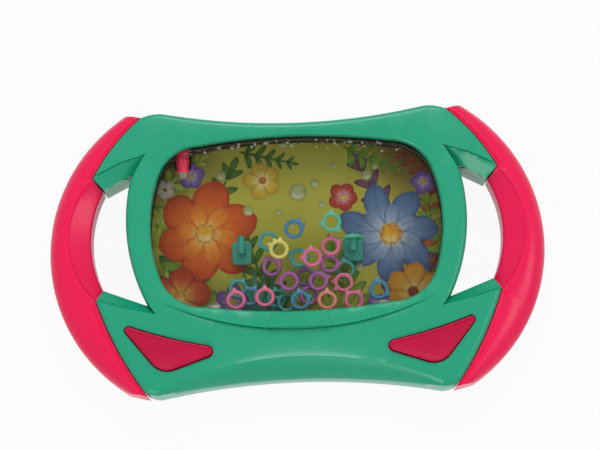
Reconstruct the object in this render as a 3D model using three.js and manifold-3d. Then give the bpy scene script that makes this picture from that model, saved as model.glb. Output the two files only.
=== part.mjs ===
// A handheld water game: two palm grips, a water-filled tank behind a rounded window,
// and two thumb buttons whose pumps squirt water up to throw small rings onto two pegs.
// Millimetres. The game lies on its back: +Z out of the window, +X to the right, +Y up the picture.

import * as THREE from "three";
import { mergeVertices } from "three/addons/utils/BufferGeometryUtils.js";
import Module from "manifold-3d";

const wasm = await Module();
wasm.setup();

// Driving dimensions

const halfWidth = 111.7; // to the outside of a palm grip
const halfHeight = 65.6; // to the tips of the four corners
const partingHeight = 12; // where the front and rear mouldings meet
const frontHeight = 26; // the flat of the front face above the table
const wall = 2; // moulded wall of the casing
const gap = 0.3; // clearance between separate mouldings
const overrun = 1; // how far a cut runs past the face that it opens
const roundSteps = 8; // sides of a screw post or its hole
const jointSteps = 4; // segments of each arc between a grip and the casing
const rimSteps = 8; // along a finger opening's edge
const waistSteps = 6;
const longSteps = 8; // along the top and bottom edges
const cornerSteps = 4; // round a corner of the window or of a button
const loftSteps = 8; // across the rolled bottom and the dished panel

const casing = {
  edgeRound: 2.6, // along the front and rear edges
  topCornerRadius: 9,
  bottomCornerRadius: 4,
  armBevelDrop: 5.4, // from an arm's crease down to its edge at the finger opening
  armStep: 0.7, // small step along that crease
  panelDip: 1.5, // step from the window's surround down to the lower panel
  bevelReachShare: 1.4, // that slope's cut, run on past the edge
  bottomEdgeHeight: 13.5, // the bottom rolls down from its ridge to here
  bottomEndShare: 0.22, // of that roll's depth is left at its two ends
  rollShares: [[0.45, 0.16], [0.8, 0.5], [1, 1]], // its run and its fall
  rollReachShare: 0.555,
  dishReachShare: 0.54,
  lipSlope: 1.2, // the window's rim leans outwards by this much
  tabRise: 0.5, // plate under the window, with its two rivets
  rivetRadius: 1.1,
  ribThickness: 1.2,
  ribHeight: 3.5, // ribs on the rear wall that carry the backdrop and the tank
  ribShares: [-0.466, -0.233, 0, 0.233, 0.466],
  ribEndShares: [-0.4, 0.74],
  spineHeightShare: 0.17,
  spineReachShare: 0.5,
};

// The grips' surfaces, measured from the parting plane.
const grip = {
  front: { crease: 11, edge: 6, tip: 11.7, outer: 2.5 },
  rear: { crease: 10.6, edge: 6, tip: 11, outer: 3 },
  foldStep: 0.35, // small step along its crease
  foldShare: 0.15, // where its crease lies between the inner and the outer edge at the joints
  shoulderShares: [[0.55, 0.2], [0.9, 0.58]], // the outer slope's run and its fall
  tongueThickness: 3,
  tongueWidth: 11,
  tongueReach: 6, // past the boss that it slips over
};

const screw = {
  shaftRadius: 1.3,
  shaftReach: 8, // into the boss of the front moulding
  headRadius: 2.7,
  headHeight: 1.8,
  bossRadius: 3.3,
  wellDepth: 3.4,
  recessDepth: 0.7, // for the driver
  rimShare: 0.8, // the head's flat face
};

const tank = {
  wall: 1.7,
  wallReach: 2.6, // outside of its side wall, beyond the window's edge
  flangeReach: 3.6,
  flangeThickness: 1.9,
  backThickness: 1.8,
  pane: 1.5, // thickness over the water
  paneProud: 0.8, // the pane rises into the window opening
  cardThickness: 0.5,
  sealWidth: 1,
  sealHeight: 0.9,
};

const button = {
  rise: 1.4, // above the front face
  rimWidth: 1.1,
  dish: 0.6,
  flangeReach: 1.2,
  flangeThickness: 1.4,
  postRadius: 4,
  outerTipRadius: 1.4,
  innerTipRadius: 2.2,
  bottomRadius: 9,
  topSag: 0.8,
};

const pump = {
  radius: 9,
  waistRadius: 6.8,
  skin: 1,
  baseRadius: 10,
  baseThickness: 5,
  height: 8.7,
  folds: 2,
  outletRadius: 2.4,
  boreRadius: 1.2,
  jetRise: 4.7, // the jet's axis above the tank's back
};

const peg = {
  bracketWidth: 9,
  bracketHeight: 11,
  bracketThickness: 1.2,
  stemRadius: 1.7,
  pinRadius: 1.8,
  pinLength: 8.5,
  pinDepthShare: 0.55, // the pin's axis, in the depth of the water
  fromMiddle: 25.3,
  fromFloor: 29.6, // above the window's lower edge
};

const plug = {
  radius: 2.9,
  tipRadius: 2.6,
  headRadius: 4.4,
  headThickness: 2,
  taperShare: 0.7,
  neckWall: 0.8,
  neckLength: 20,
  plugLength: 24,
  heightShare: 0.66, // its axis, in the height of the front face
};

const ring = {
  radius: 4.5,
  holeRadius: 2.75,
  thickness: 1.7,
  earReach: 1.7,
  layers: 4, // in the depth of the water
};

// Solids

function solidOf(geometry) {
  const plain = geometry.index ? geometry.toNonIndexed() : geometry.clone();
  plain.deleteAttribute("normal");
  plain.deleteAttribute("uv");
  const merged = mergeVertices(plain, 1e-4);
  const triVerts = new Uint32Array(merged.index.array);
  const vertProperties = merged.attributes.position.array;
  return new wasm.Manifold(new wasm.Mesh({ numProp: 3, vertProperties, triVerts }));
}

function geometryOf(solid) {
  const mesh = solid.getMesh();
  const count = mesh.numProp;
  const positions = new Float32Array(mesh.numVert * 3);
  for (let i = 0; i < mesh.numVert; i += 1) {
    positions.set(mesh.vertProperties.subarray(i * count, i * count + 3), i * 3);
  }
  const indexed = new THREE.BufferGeometry();
  indexed.setAttribute("position", new THREE.BufferAttribute(positions, 3));
  indexed.setIndex(new THREE.BufferAttribute(mesh.triVerts, 1));
  const geometry = indexed.toNonIndexed();
  geometry.computeVertexNormals();
  return geometry;
}

const join = (first, ...others) => others.reduce((sum, next) => sum.add(next), first);
const cut = (first, ...others) => others.reduce((rest, next) => rest.subtract(next), first);

// A closed skin over a row of loops that all have the same number of points, with flat ends.
function lofted(loops) {
  const positions = [];
  const put = (...corners) => corners.forEach((corner) => positions.push(corner.x, corner.y, corner.z));
  for (let i = 0; i + 1 < loops.length; i += 1) {
    const lower = loops[i];
    const upper = loops[i + 1];
    lower.forEach((corner, k) => {
      const next = (k + 1) % lower.length;
      put(corner, lower[next], upper[next]);
      put(corner, upper[next], upper[k]);
    });
  }
  const cap = (loop, facing) => {
    const normal = new THREE.Vector3();
    loop.forEach((corner, k) => normal.add(corner.clone().cross(loop[(k + 1) % loop.length])));
    normal.normalize();
    const across = loop[1].clone().sub(loop[0]).normalize();
    const along = normal.clone().cross(across);
    const flat = loop.map((corner) => new THREE.Vector2(corner.dot(across), corner.dot(along)));
    THREE.ShapeUtils.triangulateShape(flat, []).forEach((face) => {
      const [a, b, c] = face.map((k) => loop[k]);
      const turned = THREE.ShapeUtils.area(face.map((k) => flat[k])) > 0;
      if (turned === facing) put(a, b, c);
      else put(a, c, b);
    });
  };
  cap(loops[0], false);
  cap(loops[loops.length - 1], true);
  let volume = 0;
  for (let i = 0; i < positions.length; i += 9) {
    const [a, b, c] = [0, 3, 6].map((k) => new THREE.Vector3().fromArray(positions, i + k));
    volume += a.dot(b.cross(c));
  }
  if (volume < 0) {
    for (let i = 0; i < positions.length; i += 9) {
      const second = positions.slice(i + 3, i + 6);
      const third = positions.slice(i + 6, i + 9);
      positions.splice(i + 3, 6, ...third, ...second);
    }
  }
  const geometry = new THREE.BufferGeometry();
  geometry.setAttribute("position", new THREE.Float32BufferAttribute(positions, 3));
  return solidOf(geometry);
}

// Outlines stacked at heights: rows of [outline, height].
const layered = (rows) => lofted(rows.map(([outline, height]) => raised(outline, height)));
const raised = (outline, height) => outline.map(({ x, y }) => new THREE.Vector3(x, y, height));

const prism = (outline, low, high) => layered([[outline, low], [outline, high]]);

// A round solid on +Z over a spot, from rows of [radius, height] that go up its outside from axis to axis.
function revolved(rows, spot = point(0, 0), sides = roundSteps) {
  const profile = rows.map(([radius, height]) => new THREE.Vector2(radius, height));
  const lathe = new THREE.LatheGeometry(profile, sides).rotateX(Math.PI / 2);
  return solidOf(lathe.translate(spot.x, spot.y, 0));
}

const rod = (radius, low, high, spot, sides) =>
  revolved([[0, low], [radius, low], [radius, high], [0, high]], spot, sides);

// Outlines

const point = (x, y) => new THREE.Vector2(x, y);
const inBody = ([xShare, yShare]) => point(xShare * halfWidth, yShare * halfHeight);

// Points on the circle through three points, without the last one.
function arc(start, middle, end, steps) {
  const chord = middle.clone().sub(start);
  const far = end.clone().sub(start);
  const twice = 2 * chord.cross(far);
  const centre = point(
    (far.y * chord.lengthSq() - chord.y * far.lengthSq()) / twice,
    (chord.x * far.lengthSq() - far.x * chord.lengthSq()) / twice,
  ).add(start);
  const from = start.clone().sub(centre).angle();
  const turn = twice > 0 ? 1 : -1;
  const sweep = (end.clone().sub(centre).angle() - from) * turn;
  const full = (sweep + 4 * Math.PI) % (2 * Math.PI);
  return Array.from({ length: steps }, (_, i) =>
    start.clone().rotateAround(centre, (turn * full * i) / steps),
  );
}

const arcInBody = (start, middle, end, steps) => arc(inBody(start), inBody(middle), inBody(end), steps);

// The outline on the other side of the body, still anticlockwise.
const mirroredX = (outline) => outline.map(({ x, y }) => point(-x, y)).reverse();
const bothSides = (outline) => [outline, mirroredX(outline)];

// The outline moved outwards, or inwards for a negative distance. Its points run anticlockwise.
function grown(outline, distance) {
  return outline.map((corner, k) => {
    const before = corner.clone().sub(outline.at(k - 1)).normalize();
    const after = outline[(k + 1) % outline.length].clone().sub(corner).normalize();
    const out = point(before.y + after.y, -before.x - after.x).normalize();
    const square = Math.max(out.dot(point(after.y, -after.x)), sharpestMiterShare);
    return corner.clone().addScaledVector(out, distance / square);
  });
}

const sharpestMiterShare = 0.5;

// Each corner of a closed outline that has a radius replaced by a round.
function rounded(corners, steps) {
  return corners.flatMap(({ spot, radius }, k) => {
    if (!radius) return [spot];
    const back = corners.at(k - 1).spot.clone().sub(spot).normalize();
    const ahead = corners[(k + 1) % corners.length].spot.clone().sub(spot).normalize();
    const half = Math.acos(THREE.MathUtils.clamp(back.dot(ahead), -1, 1)) / 2;
    const reach = radius / Math.tan(half);
    const start = spot.clone().addScaledVector(back, reach);
    const end = spot.clone().addScaledVector(ahead, reach);
    const centre = spot.clone().addScaledVector(back.add(ahead).normalize(), radius / Math.sin(half));
    const middle = centre.clone().add(spot.clone().sub(centre).setLength(radius));
    return [...arc(start, middle, end, steps), end];
  });
}

const mirror = ([xShare, yShare]) => [-xShare, yShare];

// A closed outline from its right side, running up, and arcs along its top and its bottom.
function aroundBody(rightSide, topMiddleShares, bottomMiddleShares, steps) {
  const low = rightSide[0];
  const high = rightSide.at(-1);
  const across = ({ x, y }) => point(-x, y);
  return [
    ...rightSide,
    ...arc(high, inBody(topMiddleShares), across(high), steps).slice(1),
    ...rightSide.map(across).reverse(),
    ...arc(across(low), inBody(bottomMiddleShares), low, steps).slice(1),
  ];
}

// The casing's outline. Its right side runs up the lower joint with the grip, round the finger opening's
// three edges and up the upper joint.
const topMiddleShares = [0, 0.895];
const topCornerShares = [0.564, 1];
const bottomMiddleShares = [0, -0.878];
const bottomCornerShares = [0.564, -0.971];
const lowerJointShares = [[0.608, -0.972], [0.724, -0.655], [0.809, -0.311]];
const lowerArmShares = [0.78, -0.236];
const waistShares = [[0.605, -0.351], [0.683, 0.12], [0.657, 0.575]];
const upperArmShares = [[0.657, 0.575], [0.774, 0.47]];
const upperJointShares = [[0.816, 0.541], [0.747, 0.73], [0.617, 0.965]];

const sharpCasing = aroundBody([
  inBody(bottomCornerShares),
  ...arcInBody(...lowerJointShares, jointSteps),
  inBody(lowerJointShares[2]),
  inBody(lowerArmShares),
  ...arcInBody(...waistShares, waistSteps),
  ...upperArmShares.map(inBody),
  ...arcInBody(...upperJointShares, jointSteps),
  inBody(upperJointShares[2]),
  inBody(topCornerShares),
], topMiddleShares, bottomMiddleShares, longSteps);

const cornerRadii = new Map([
  [inBody(topCornerShares).y, casing.topCornerRadius],
  [inBody(lowerJointShares[0]).y, casing.bottomCornerRadius],
]);
const casingOutline = rounded(sharpCasing.map((spot) => ({ spot, radius: cornerRadii.get(spot.y) })), 3);

const windowShares = {
  lowerCorner: [[0.372, -0.375], [0.488, -0.3125], [0.548, -0.18]],
  side: [[0.548, -0.18], [0.584, 0.168], [0.553, 0.518]],
  upperCorner: [[0.553, 0.518], [0.506, 0.655], [0.385, 0.742]],
  top: [0, 0.794],
  floor: [0, -0.422],
};
const windowOutline = aroundBody([
  ...arcInBody(...windowShares.lowerCorner, cornerSteps),
  ...arcInBody(...windowShares.side, cornerSteps),
  ...arcInBody(...windowShares.upperCorner, cornerSteps),
  inBody(windowShares.upperCorner[2]),
], windowShares.top, windowShares.floor, longSteps);
const windowFloor = inBody(windowShares.floor).y;

// Rows of an outline whose edge turns over with a round of the given radius, towards a face at a height.
function roundedRows(outline, face, radius, side) {
  const steps = 2;
  return Array.from({ length: steps + 1 }, (_, i) => {
    const turn = (i / steps) * (Math.PI / 2);
    const inset = radius * (1 - Math.cos(turn));
    return [grown(outline, -inset), face - side * radius * (1 - Math.sin(turn))];
  });
}

const screwShares = [[0.68, 0.762], [0.716, -0.434], [0.2, -0.7]];
const screwSpots = [...screwShares, ...screwShares.map(mirror)].map(inBody);
const gripScrewShares = [[0.9, 0.36], [0.905, -0.18]];
const gripScrewSpots = gripScrewShares.map(inBody);

// The front moulding

const bottomRidgeShares = [[-0.56, -0.93], [0, -0.735], [0.56, -0.93]];
const surroundShares = [[-0.55, -0.337], [0, -0.547], [0.55, -0.337]];

// The height of an arc, given by three points, over a place across the body.
function arcHeight(shares, x) {
  const [start, middle, end] = shares.map(inBody);
  const rise = middle.y - start.y;
  const radius = (end.x ** 2 + rise ** 2) / (2 * Math.abs(rise));
  return middle.y - Math.sign(rise) * (radius - Math.sqrt(radius ** 2 - Math.min(Math.abs(x), end.x) ** 2));
}

const bottomEdgeShares = [mirror(bottomCornerShares), bottomMiddleShares, bottomCornerShares];

// A cutter whose outline across the body changes from place to place along X.
function cutterAlongX(reachShare, outlineAt) {
  const reach = reachShare * halfWidth;
  return lofted(Array.from({ length: loftSteps + 1 }, (_, i) => {
    const x = reach * ((2 * i) / loftSteps - 1);
    return outlineAt(x, x / reach).map(([y, z]) => new THREE.Vector3(x, y, z));
  }));
}

// The bottom rolls down from its ridge to the edge, most at the middle.
function bottomRoll(face) {
  return cutterAlongX(casing.rollReachShare, (x, share) => {
    const ridge = arcHeight(bottomRidgeShares, x);
    const edge = arcHeight(bottomEdgeShares, x);
    const fall = (frontHeight - casing.bottomEdgeHeight) * (1 - (1 - casing.bottomEndShare) * share ** 4);
    return [
      [edge - overrun, face + overrun],
      [ridge, face + overrun],
      [ridge, face],
      ...casing.rollShares.map(([run, drop]) => [ridge + run * (edge - ridge), face - drop * fall]),
      [edge - overrun, face - fall],
    ];
  });
}

// The lower panel is dished: it steps down from the window's surround and rises again to the ridge.
function panelDish() {
  return cutterAlongX(casing.dishReachShare, (x, share) => {
    const step = arcHeight(surroundShares, x);
    const ridge = arcHeight(bottomRidgeShares, x);
    const dip = casing.panelDip * (1 - share ** 4) + gap / 10;
    const top = frontHeight + overrun;
    return [[ridge, top], [step, top], [step, frontHeight - dip], [ridge, frontHeight - gap / 10]];
  });
}

// A bevel along an arm: from its crease, by a small step, down to its edge at the finger opening.
function armBevel(pairs, face) {
  const loops = pairs.map(([creaseShares, edgeShares]) => {
    const crease = inBody(creaseShares);
    const beyond = inBody(edgeShares).sub(crease).multiplyScalar(casing.bevelReachShare).add(crease);
    const fall = casing.armStep + casing.bevelReachShare * (casing.armBevelDrop - casing.armStep);
    return [
      [crease, face + overrun],
      [crease, face - casing.armStep],
      [beyond, face - fall],
      [beyond, face + overrun],
    ].map(([{ x, y }, z]) => new THREE.Vector3(x, y, z));
  });
  return lofted(loops);
}

const upperBevelShares = [
  [[0.83, 0.54], [0.785, 0.43]],
  [[0.704, 0.645], [0.671, 0.56]],
  [[0.6, 0.7], [0.635, 0.6]],
];
const lowerBevelShares = [
  [[0.825, -0.305], [0.795, -0.22]],
  [[0.713, -0.364], [0.677, -0.3]],
  [[0.57, -0.42], [0.6, -0.345]],
];

const bevels = (face) =>
  [upperBevelShares, lowerBevelShares].flatMap((pairs) => [
    armBevel(pairs, face),
    armBevel(pairs.map((pair) => pair.map(mirror)), face),
  ]);

// The button's outline: a rounded triangle, its upper edge a little hollow.
const buttonTipShares = { outer: [0.713, -0.486], inner: [0.305, -0.68], bottom: [0.553, -0.828] };
function buttonOutline() {
  const tips = [
    { spot: inBody(buttonTipShares.outer), radius: button.outerTipRadius },
    { spot: inBody(buttonTipShares.inner), radius: button.innerTipRadius },
    { spot: inBody(buttonTipShares.bottom), radius: button.bottomRadius },
  ];
  const rounds = rounded(tips, cornerSteps);
  const start = rounds[cornerSteps];
  const end = rounds[cornerSteps + 1];
  const middle = start.clone().add(end).divideScalar(2);
  const inwards = point(start.y - end.y, end.x - start.x).setLength(button.topSag);
  const hollow = arc(start, middle.add(inwards), end, cornerSteps).slice(1);
  return [...rounds.slice(0, cornerSteps + 1), ...hollow, ...rounds.slice(cornerSteps + 1)];
}

const buttonSpotShares = [0.53, -0.68];
const buttonSpot = inBody(buttonSpotShares);
const buttonShape = buttonOutline();

// Screw posts: a column in the rear moulding with a well for the head, and a boss in the front one.

const column = (spot, low) => rod(screw.bossRadius, low, partingHeight, spot);
const boss = (spot) => rod(screw.bossRadius, partingHeight, frontHeight, spot);
const shaftHole = (spot, low) => rod(screw.shaftRadius + gap, low, partingHeight + overrun, spot);
const pilotHole = (spot) =>
  rod(screw.shaftRadius + gap, partingHeight - overrun, partingHeight + screw.shaftReach + overrun, spot);
const well = (spot, seat) => rod(screw.headRadius + gap, -overrun, seat, spot);
const screwBores = (spot, seat) => [shaftHole(spot, seat - overrun), well(spot, seat)];
const wellSleeve = (spot, seat) => rod(screw.headRadius + gap + wall / 2, 0, seat + wall / 2, spot);
const box = (low, high) => prism(
  [point(low[0], low[1]), point(high[0], low[1]), point(high[0], high[1]), point(low[0], high[1])],
  low[2],
  high[2],
);

const plugAxisShares = [-0.455, 0];
const plugAxis = inBody(plugAxisShares);
const plugHeight = plug.heightShare * frontHeight;
const plugHeadTop = arcHeight([mirror(topCornerShares), topMiddleShares, topCornerShares], plugAxis.x);

// A round solid on +Y over a place, from rows of [radius, height] along Y.
function revolvedAlongY(rows, x, z, sides = roundSteps) {
  const profile = rows.map(([radius, height]) => new THREE.Vector2(radius, height));
  return solidOf(new THREE.LatheGeometry(profile, sides).translate(x, 0, z));
}

const barAlongY = (radius, low, high, x, z, sides) =>
  revolvedAlongY([[0, low], [radius, low], [radius, high], [0, high]], x, z, sides);

// The heights of the tank's parts, from the rear wall's ribs up.
const cardLow = wall + casing.ribHeight;
const tankBackLow = cardLow + tank.cardThickness;
const waterLow = tankBackLow + tank.backThickness;
const tankHigh = frontHeight - wall - gap;
const paneHigh = tankHigh + tank.paneProud;
const waterHigh = paneHigh - tank.pane;
const casingSeat = screw.wellDepth;

function tonguePlate(end, spot) {
  const along = spot.clone().sub(end).normalize();
  const side = point(-along.y, along.x).multiplyScalar(grip.tongueWidth / 2);
  const tip = spot.clone().addScaledVector(along, grip.tongueReach);
  return [end.clone().sub(side), tip.clone().sub(side), tip.clone().add(side), end.clone().add(side)];
}

// Each tongue of a grip, on the right: from inside the grip to past the screw post in the arm.
const tongueRootShares = [[0.78, 0.7], [0.82, -0.46]];
const tongues = tongueRootShares.map((root, i) => tonguePlate(inBody(root), screwSpots[i]));
const tongueHigh = partingHeight - gap;
const tongueLow = tongueHigh - grip.tongueThickness;

// The plate under the window, a little proud, wider at its foot.
const tabShares = [[-0.125, -0.535], [0.125, -0.535], [0.107, -0.44], [-0.107, -0.44]];
const rivetShares = [0.083, -0.497];

function frontHousing() {
  const skin = layered([
    [casingOutline, partingHeight],
    ...roundedRows(casingOutline, frontHeight, casing.edgeRound, 1),
  ]);
  const shaped = cut(skin, bottomRoll(frontHeight), panelDish(), ...bevels(frontHeight));
  const hollow = prism(grown(casingOutline, -wall), partingHeight - overrun, frontHeight - wall);
  // What lies this far under the sloped faces stays solid, so that no bevel opens into the hollow.
  const lowered = [bottomRoll(frontHeight - wall), ...bevels(frontHeight - wall)];
  const posts = join(boss(screwSpots[0]), ...screwSpots.slice(1).map(boss)).intersect(shaped);
  const rim = layered([
    [windowOutline, partingHeight],
    [windowOutline, tankHigh],
    [grown(windowOutline, casing.lipSlope), frontHeight + gap],
  ]);
  const tab = tabShares.map(inBody);
  const rivet = (shares) => revolved([
    [0, frontHeight - wall / 2],
    [casing.rivetRadius, frontHeight - wall / 2],
    [casing.rivetRadius, frontHeight + casing.tabRise],
    [casing.rivetRadius / 2, frontHeight + 2 * casing.tabRise],
    [0, frontHeight + 2 * casing.tabRise],
  ], inBody(shares));
  const shell = cut(shaped, cut(hollow, ...lowered));
  const filled = join(shell, posts, prism(tab, frontHeight - wall / 2, frontHeight + casing.tabRise),
    rivet(rivetShares), rivet(mirror(rivetShares)));
  const holes = bothSides(grown(buttonShape, 2 * gap)).map((hole) =>
    prism(hole, partingHeight, frontHeight + 2 * overrun));
  const plugHole = barAlongY(plug.headRadius + gap, plugHeadTop - wall - 2 * overrun,
    plugHeadTop + 2 * overrun, plugAxis.x, plugHeight);
  return cut(filled, rim, ...holes, plugHole, ...screwSpots.map(pilotHole));
}

function rearHousing() {
  const skin = layered([
    ...roundedRows(casingOutline, 0, casing.edgeRound, -1).reverse(),
    [casingOutline, partingHeight],
  ]);
  const hollow = prism(grown(casingOutline, -wall), wall, partingHeight + overrun);
  const [ribLow, ribHigh] = casing.ribEndShares.map((share) => share * halfHeight);
  const ribs = casing.ribShares.map((share) => share * halfWidth).map((x) =>
    box([x - casing.ribThickness / 2, ribLow, wall / 2], [x + casing.ribThickness / 2, ribHigh, cardLow]));
  const spineReach = casing.spineReachShare * halfWidth;
  const spineLow = casing.spineHeightShare * halfHeight;
  const spineHigh = spineLow + casing.ribThickness;
  const spine = box([-spineReach, spineLow, wall / 2], [spineReach, spineHigh, cardLow]);
  const posts = screwSpots.flatMap((spot) => [column(spot, wall / 2), wellSleeve(spot, casingSeat)]);
  const shell = join(cut(skin, hollow), ...ribs, spine, ...posts);
  const slots = tongues.flatMap((outline) =>
    bothSides(grown(outline, gap)).map((each) => prism(each, tongueLow - gap, partingHeight + overrun)));
  const bores = screwSpots.flatMap((spot) => screwBores(spot, casingSeat));
  const posted = join(cut(shell, ...slots), ...screwSpots.map((spot) => column(spot, wall / 2)));
  return cut(posted, ...bores);
}

// A grip's outlines seen from the front: its outer edge, the finger opening's edge and the crease beside it.
const gripOuterShares = [[0.693, 1], [1, 0.03], [0.693, -0.94]];
const gripRimShares = [[0.78, 0.463], [0.832, 0.12], [0.784, -0.238]];
const gripCreaseShares = [[0.83, 0.52], [0.9185, 0.09], [0.826, -0.29]];

// A grip's half as a row of cross-sections from its top tip to its bottom tip. The inset makes its hollow.
function gripSections(face, side, inset) {
  const whole = (shares, steps) => [...arcInBody(...shares, steps), inBody(shares[2])];
  const creases = whole(gripCreaseShares, rimSteps);
  const inside = [
    ...whole(upperJointShares, jointSteps).reverse().map((spot) => ({ spot })),
    ...whole(gripRimShares, rimSteps).map((spot, i) => ({ spot, crease: creases[i] })),
    ...whole(lowerJointShares, jointSteps).reverse().map((spot) => ({ spot })),
  ];
  const outside = whole(gripOuterShares, inside.length - 1);
  return inside.map(({ spot, crease }, i) => {
    const towards = outside[i].clone().sub(spot).normalize();
    const start = spot.clone().addScaledVector(towards, inset + (crease ? 0 : gap));
    const end = outside[i].clone().addScaledVector(towards, -inset);
    const fold = crease || start.clone().lerp(end, grip.foldShare);
    const rise = crease ? face.edge : face.tip;
    const parting = partingHeight - (inset ? side * overrun : 0);
    const drop = face.crease - face.outer;
    return [
      [start, parting],
      [start, partingHeight + side * (rise - inset)],
      [fold, partingHeight + side * (face.crease - grip.foldStep - inset)],
      [fold, partingHeight + side * (face.crease - inset)],
      ...grip.shoulderShares.map(([run, fall]) =>
        [fold.clone().lerp(end, run), partingHeight + side * (face.crease - fall * drop - inset)]),
      [end, partingHeight + side * face.outer],
      [end, parting],
    ].map(([{ x, y }, z]) => new THREE.Vector3(x, y, z));
  });
}

function gripShell(face, side) {
  const skin = lofted(gripSections(face, side, 0));
  const hollow = lofted(gripSections(face, side, wall).slice(1, -1));
  return { skin, shell: cut(skin, hollow) };
}

const gripSeat = partingHeight - grip.rear.crease + screw.wellDepth;

function gripFront() {
  const { skin, shell } = gripShell(grip.front, 1);
  const bosses = gripScrewSpots.map((spot) => boss(spot).intersect(skin));
  return cut(join(shell, ...bosses), ...gripScrewSpots.map(pilotHole));
}

function gripRear() {
  const { skin, shell } = gripShell(grip.rear, -1);
  const posts = gripScrewSpots.map((spot) =>
    join(column(spot, 0), wellSleeve(spot, gripSeat)).intersect(skin));
  const plates = tongues.map((outline) => prism(outline, tongueLow, tongueHigh));
  const eyes = screwSpots.slice(0, 2).map((spot) =>
    rod(screw.bossRadius + gap, tongueLow - overrun, tongueHigh + overrun, spot));
  const bores = gripScrewSpots.flatMap((spot) => screwBores(spot, gripSeat));
  return cut(join(shell, ...posts, ...plates), ...eyes, ...bores);
}

function screwSolid(seat) {
  const low = seat - screw.headHeight;
  const high = partingHeight + screw.shaftReach;
  return revolved([
    [0, low + screw.recessDepth],
    [screw.headRadius / 3, low],
    [screw.headRadius * screw.rimShare, low],
    [screw.headRadius, low + screw.headHeight / 3],
    [screw.headRadius, seat],
    [screw.shaftRadius, seat],
    [screw.shaftRadius, high - screw.shaftRadius],
    [0, high],
  ]);
}

// The tank: a clear front with its pane and filler neck, a clear back, and the seal between them

const neckHigh = plugHeadTop - wall - plug.headThickness;
const neckLow = neckHigh - plug.neckLength;
const neckRadius = plug.radius + gap + plug.neckWall;
const jetShares = [0.34, -0.4];
const jetSpot = inBody(jetShares);
const jetHeight = waterLow + pump.jetRise;

function tankFront() {
  const outside = join(
    prism(grown(windowOutline, tank.wallReach), waterLow + gap, tankHigh),
    prism(grown(windowOutline, tank.flangeReach), waterLow + gap, waterLow + gap + tank.flangeThickness),
    prism(grown(windowOutline, -gap), tankHigh - overrun, paneHigh),
  );
  const water = prism(grown(windowOutline, tank.wallReach - tank.wall), waterLow - overrun, waterHigh);
  const neck = revolvedAlongY([
    [0, neckLow],
    [neckRadius * plug.taperShare, neckLow],
    [neckRadius, neckLow + neckRadius / 2],
    [neckRadius, neckHigh],
    [0, neckHigh],
  ], plugAxis.x, plugHeight, 12);
  const bore = barAlongY(
    plug.radius + gap, neckLow - overrun, neckHigh + overrun, plugAxis.x, plugHeight, 12);
  const groove = cut(
    prism(grown(windowOutline, tank.wallReach + gap), waterLow - overrun, waterLow + gap + tank.sealHeight),
    prism(grown(windowOutline, tank.wallReach - tank.sealWidth - gap), waterLow - 2 * overrun, waterHigh),
  );
  const jets = [-1, 1].map((side) => barAlongY(pump.outletRadius + gap, jetSpot.y - 3 * tank.flangeReach,
    jetSpot.y + 2 * tank.flangeReach, side * jetSpot.x, jetHeight, 12));
  return cut(join(cut(outside, water), neck), bore, groove, ...jets);
}

const tankBack = () => prism(grown(windowOutline, tank.flangeReach), tankBackLow, waterLow);
const backdropCard = () => prism(grown(windowOutline, tank.wallReach), cardLow, tankBackLow);
const tankSeal = () => cut(
  prism(grown(windowOutline, tank.wallReach), waterLow, waterLow + tank.sealHeight),
  prism(grown(windowOutline, tank.wallReach - tank.sealWidth), waterLow - overrun, waterHigh),
);

// The filler plug, along Y: head, stem and a tapered tip.
function fillPlug() {
  const headLow = neckHigh + gap;
  const low = headLow - plug.plugLength + plug.headThickness;
  return revolvedAlongY([
    [0, low],
    [plug.tipRadius * plug.taperShare, low],
    [plug.tipRadius, low + plug.tipRadius / 2],
    [plug.radius, headLow - plug.radius],
    [plug.radius, headLow],
    [plug.headRadius, headLow],
    [plug.headRadius, headLow + plug.headThickness / 2],
    [plug.headRadius - plug.headThickness / 2, headLow + plug.headThickness],
    [0, headLow + plug.headThickness],
  ], 0, 0, 12);
}

const pinRise = peg.pinDepthShare * (waterHigh - waterLow);

// A peg: a bracket on the tank's back, a stem towards the window and the pin that takes the rings.
function pegSolid() {
  const across = peg.bracketWidth / 2;
  const up = peg.bracketHeight / 2;
  const corner = across / 2;
  const plate = rounded([
    { spot: point(across, up), radius: corner },
    { spot: point(-across, up), radius: corner },
    { spot: point(-across, -up), radius: corner },
    { spot: point(across, -up), radius: corner },
  ], 3);
  const pin = revolvedAlongY([
    [0, -peg.pinRadius],
    [peg.pinRadius, -peg.pinRadius],
    [peg.pinRadius, peg.pinLength - 2 * peg.pinRadius],
    [peg.pinRadius / 2, peg.pinLength - peg.pinRadius],
    [0, peg.pinLength - peg.pinRadius],
  ], 0, pinRise, 12);
  return join(prism(plate, 0, peg.bracketThickness),
    rod(peg.stemRadius, peg.bracketThickness / 2, pinRise, point(0, 0), 12), pin);
}

const pegSpots = [-1, 1].map((side) => point(side * peg.fromMiddle, windowFloor + peg.fromFloor));

// Buttons and pumps

const flangeHigh = frontHeight - wall - gap;
const bellowsLow = wall + gap + pump.baseThickness;
const bellowsHigh = bellowsLow + pump.height;

function buttonCap() {
  const top = frontHeight + button.rise;
  const cap = join(
    prism(grown(buttonShape, button.flangeReach), flangeHigh - button.flangeThickness, flangeHigh),
    layered([[buttonShape, flangeHigh - overrun], ...roundedRows(buttonShape, top, button.rimWidth / 2, 1)]),
    rod(button.postRadius, bellowsHigh + gap, flangeHigh - overrun, buttonSpot),
  );
  return cut(cap, prism(grown(buttonShape, -button.rimWidth), top - button.dish, top + overrun));
}

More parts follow.
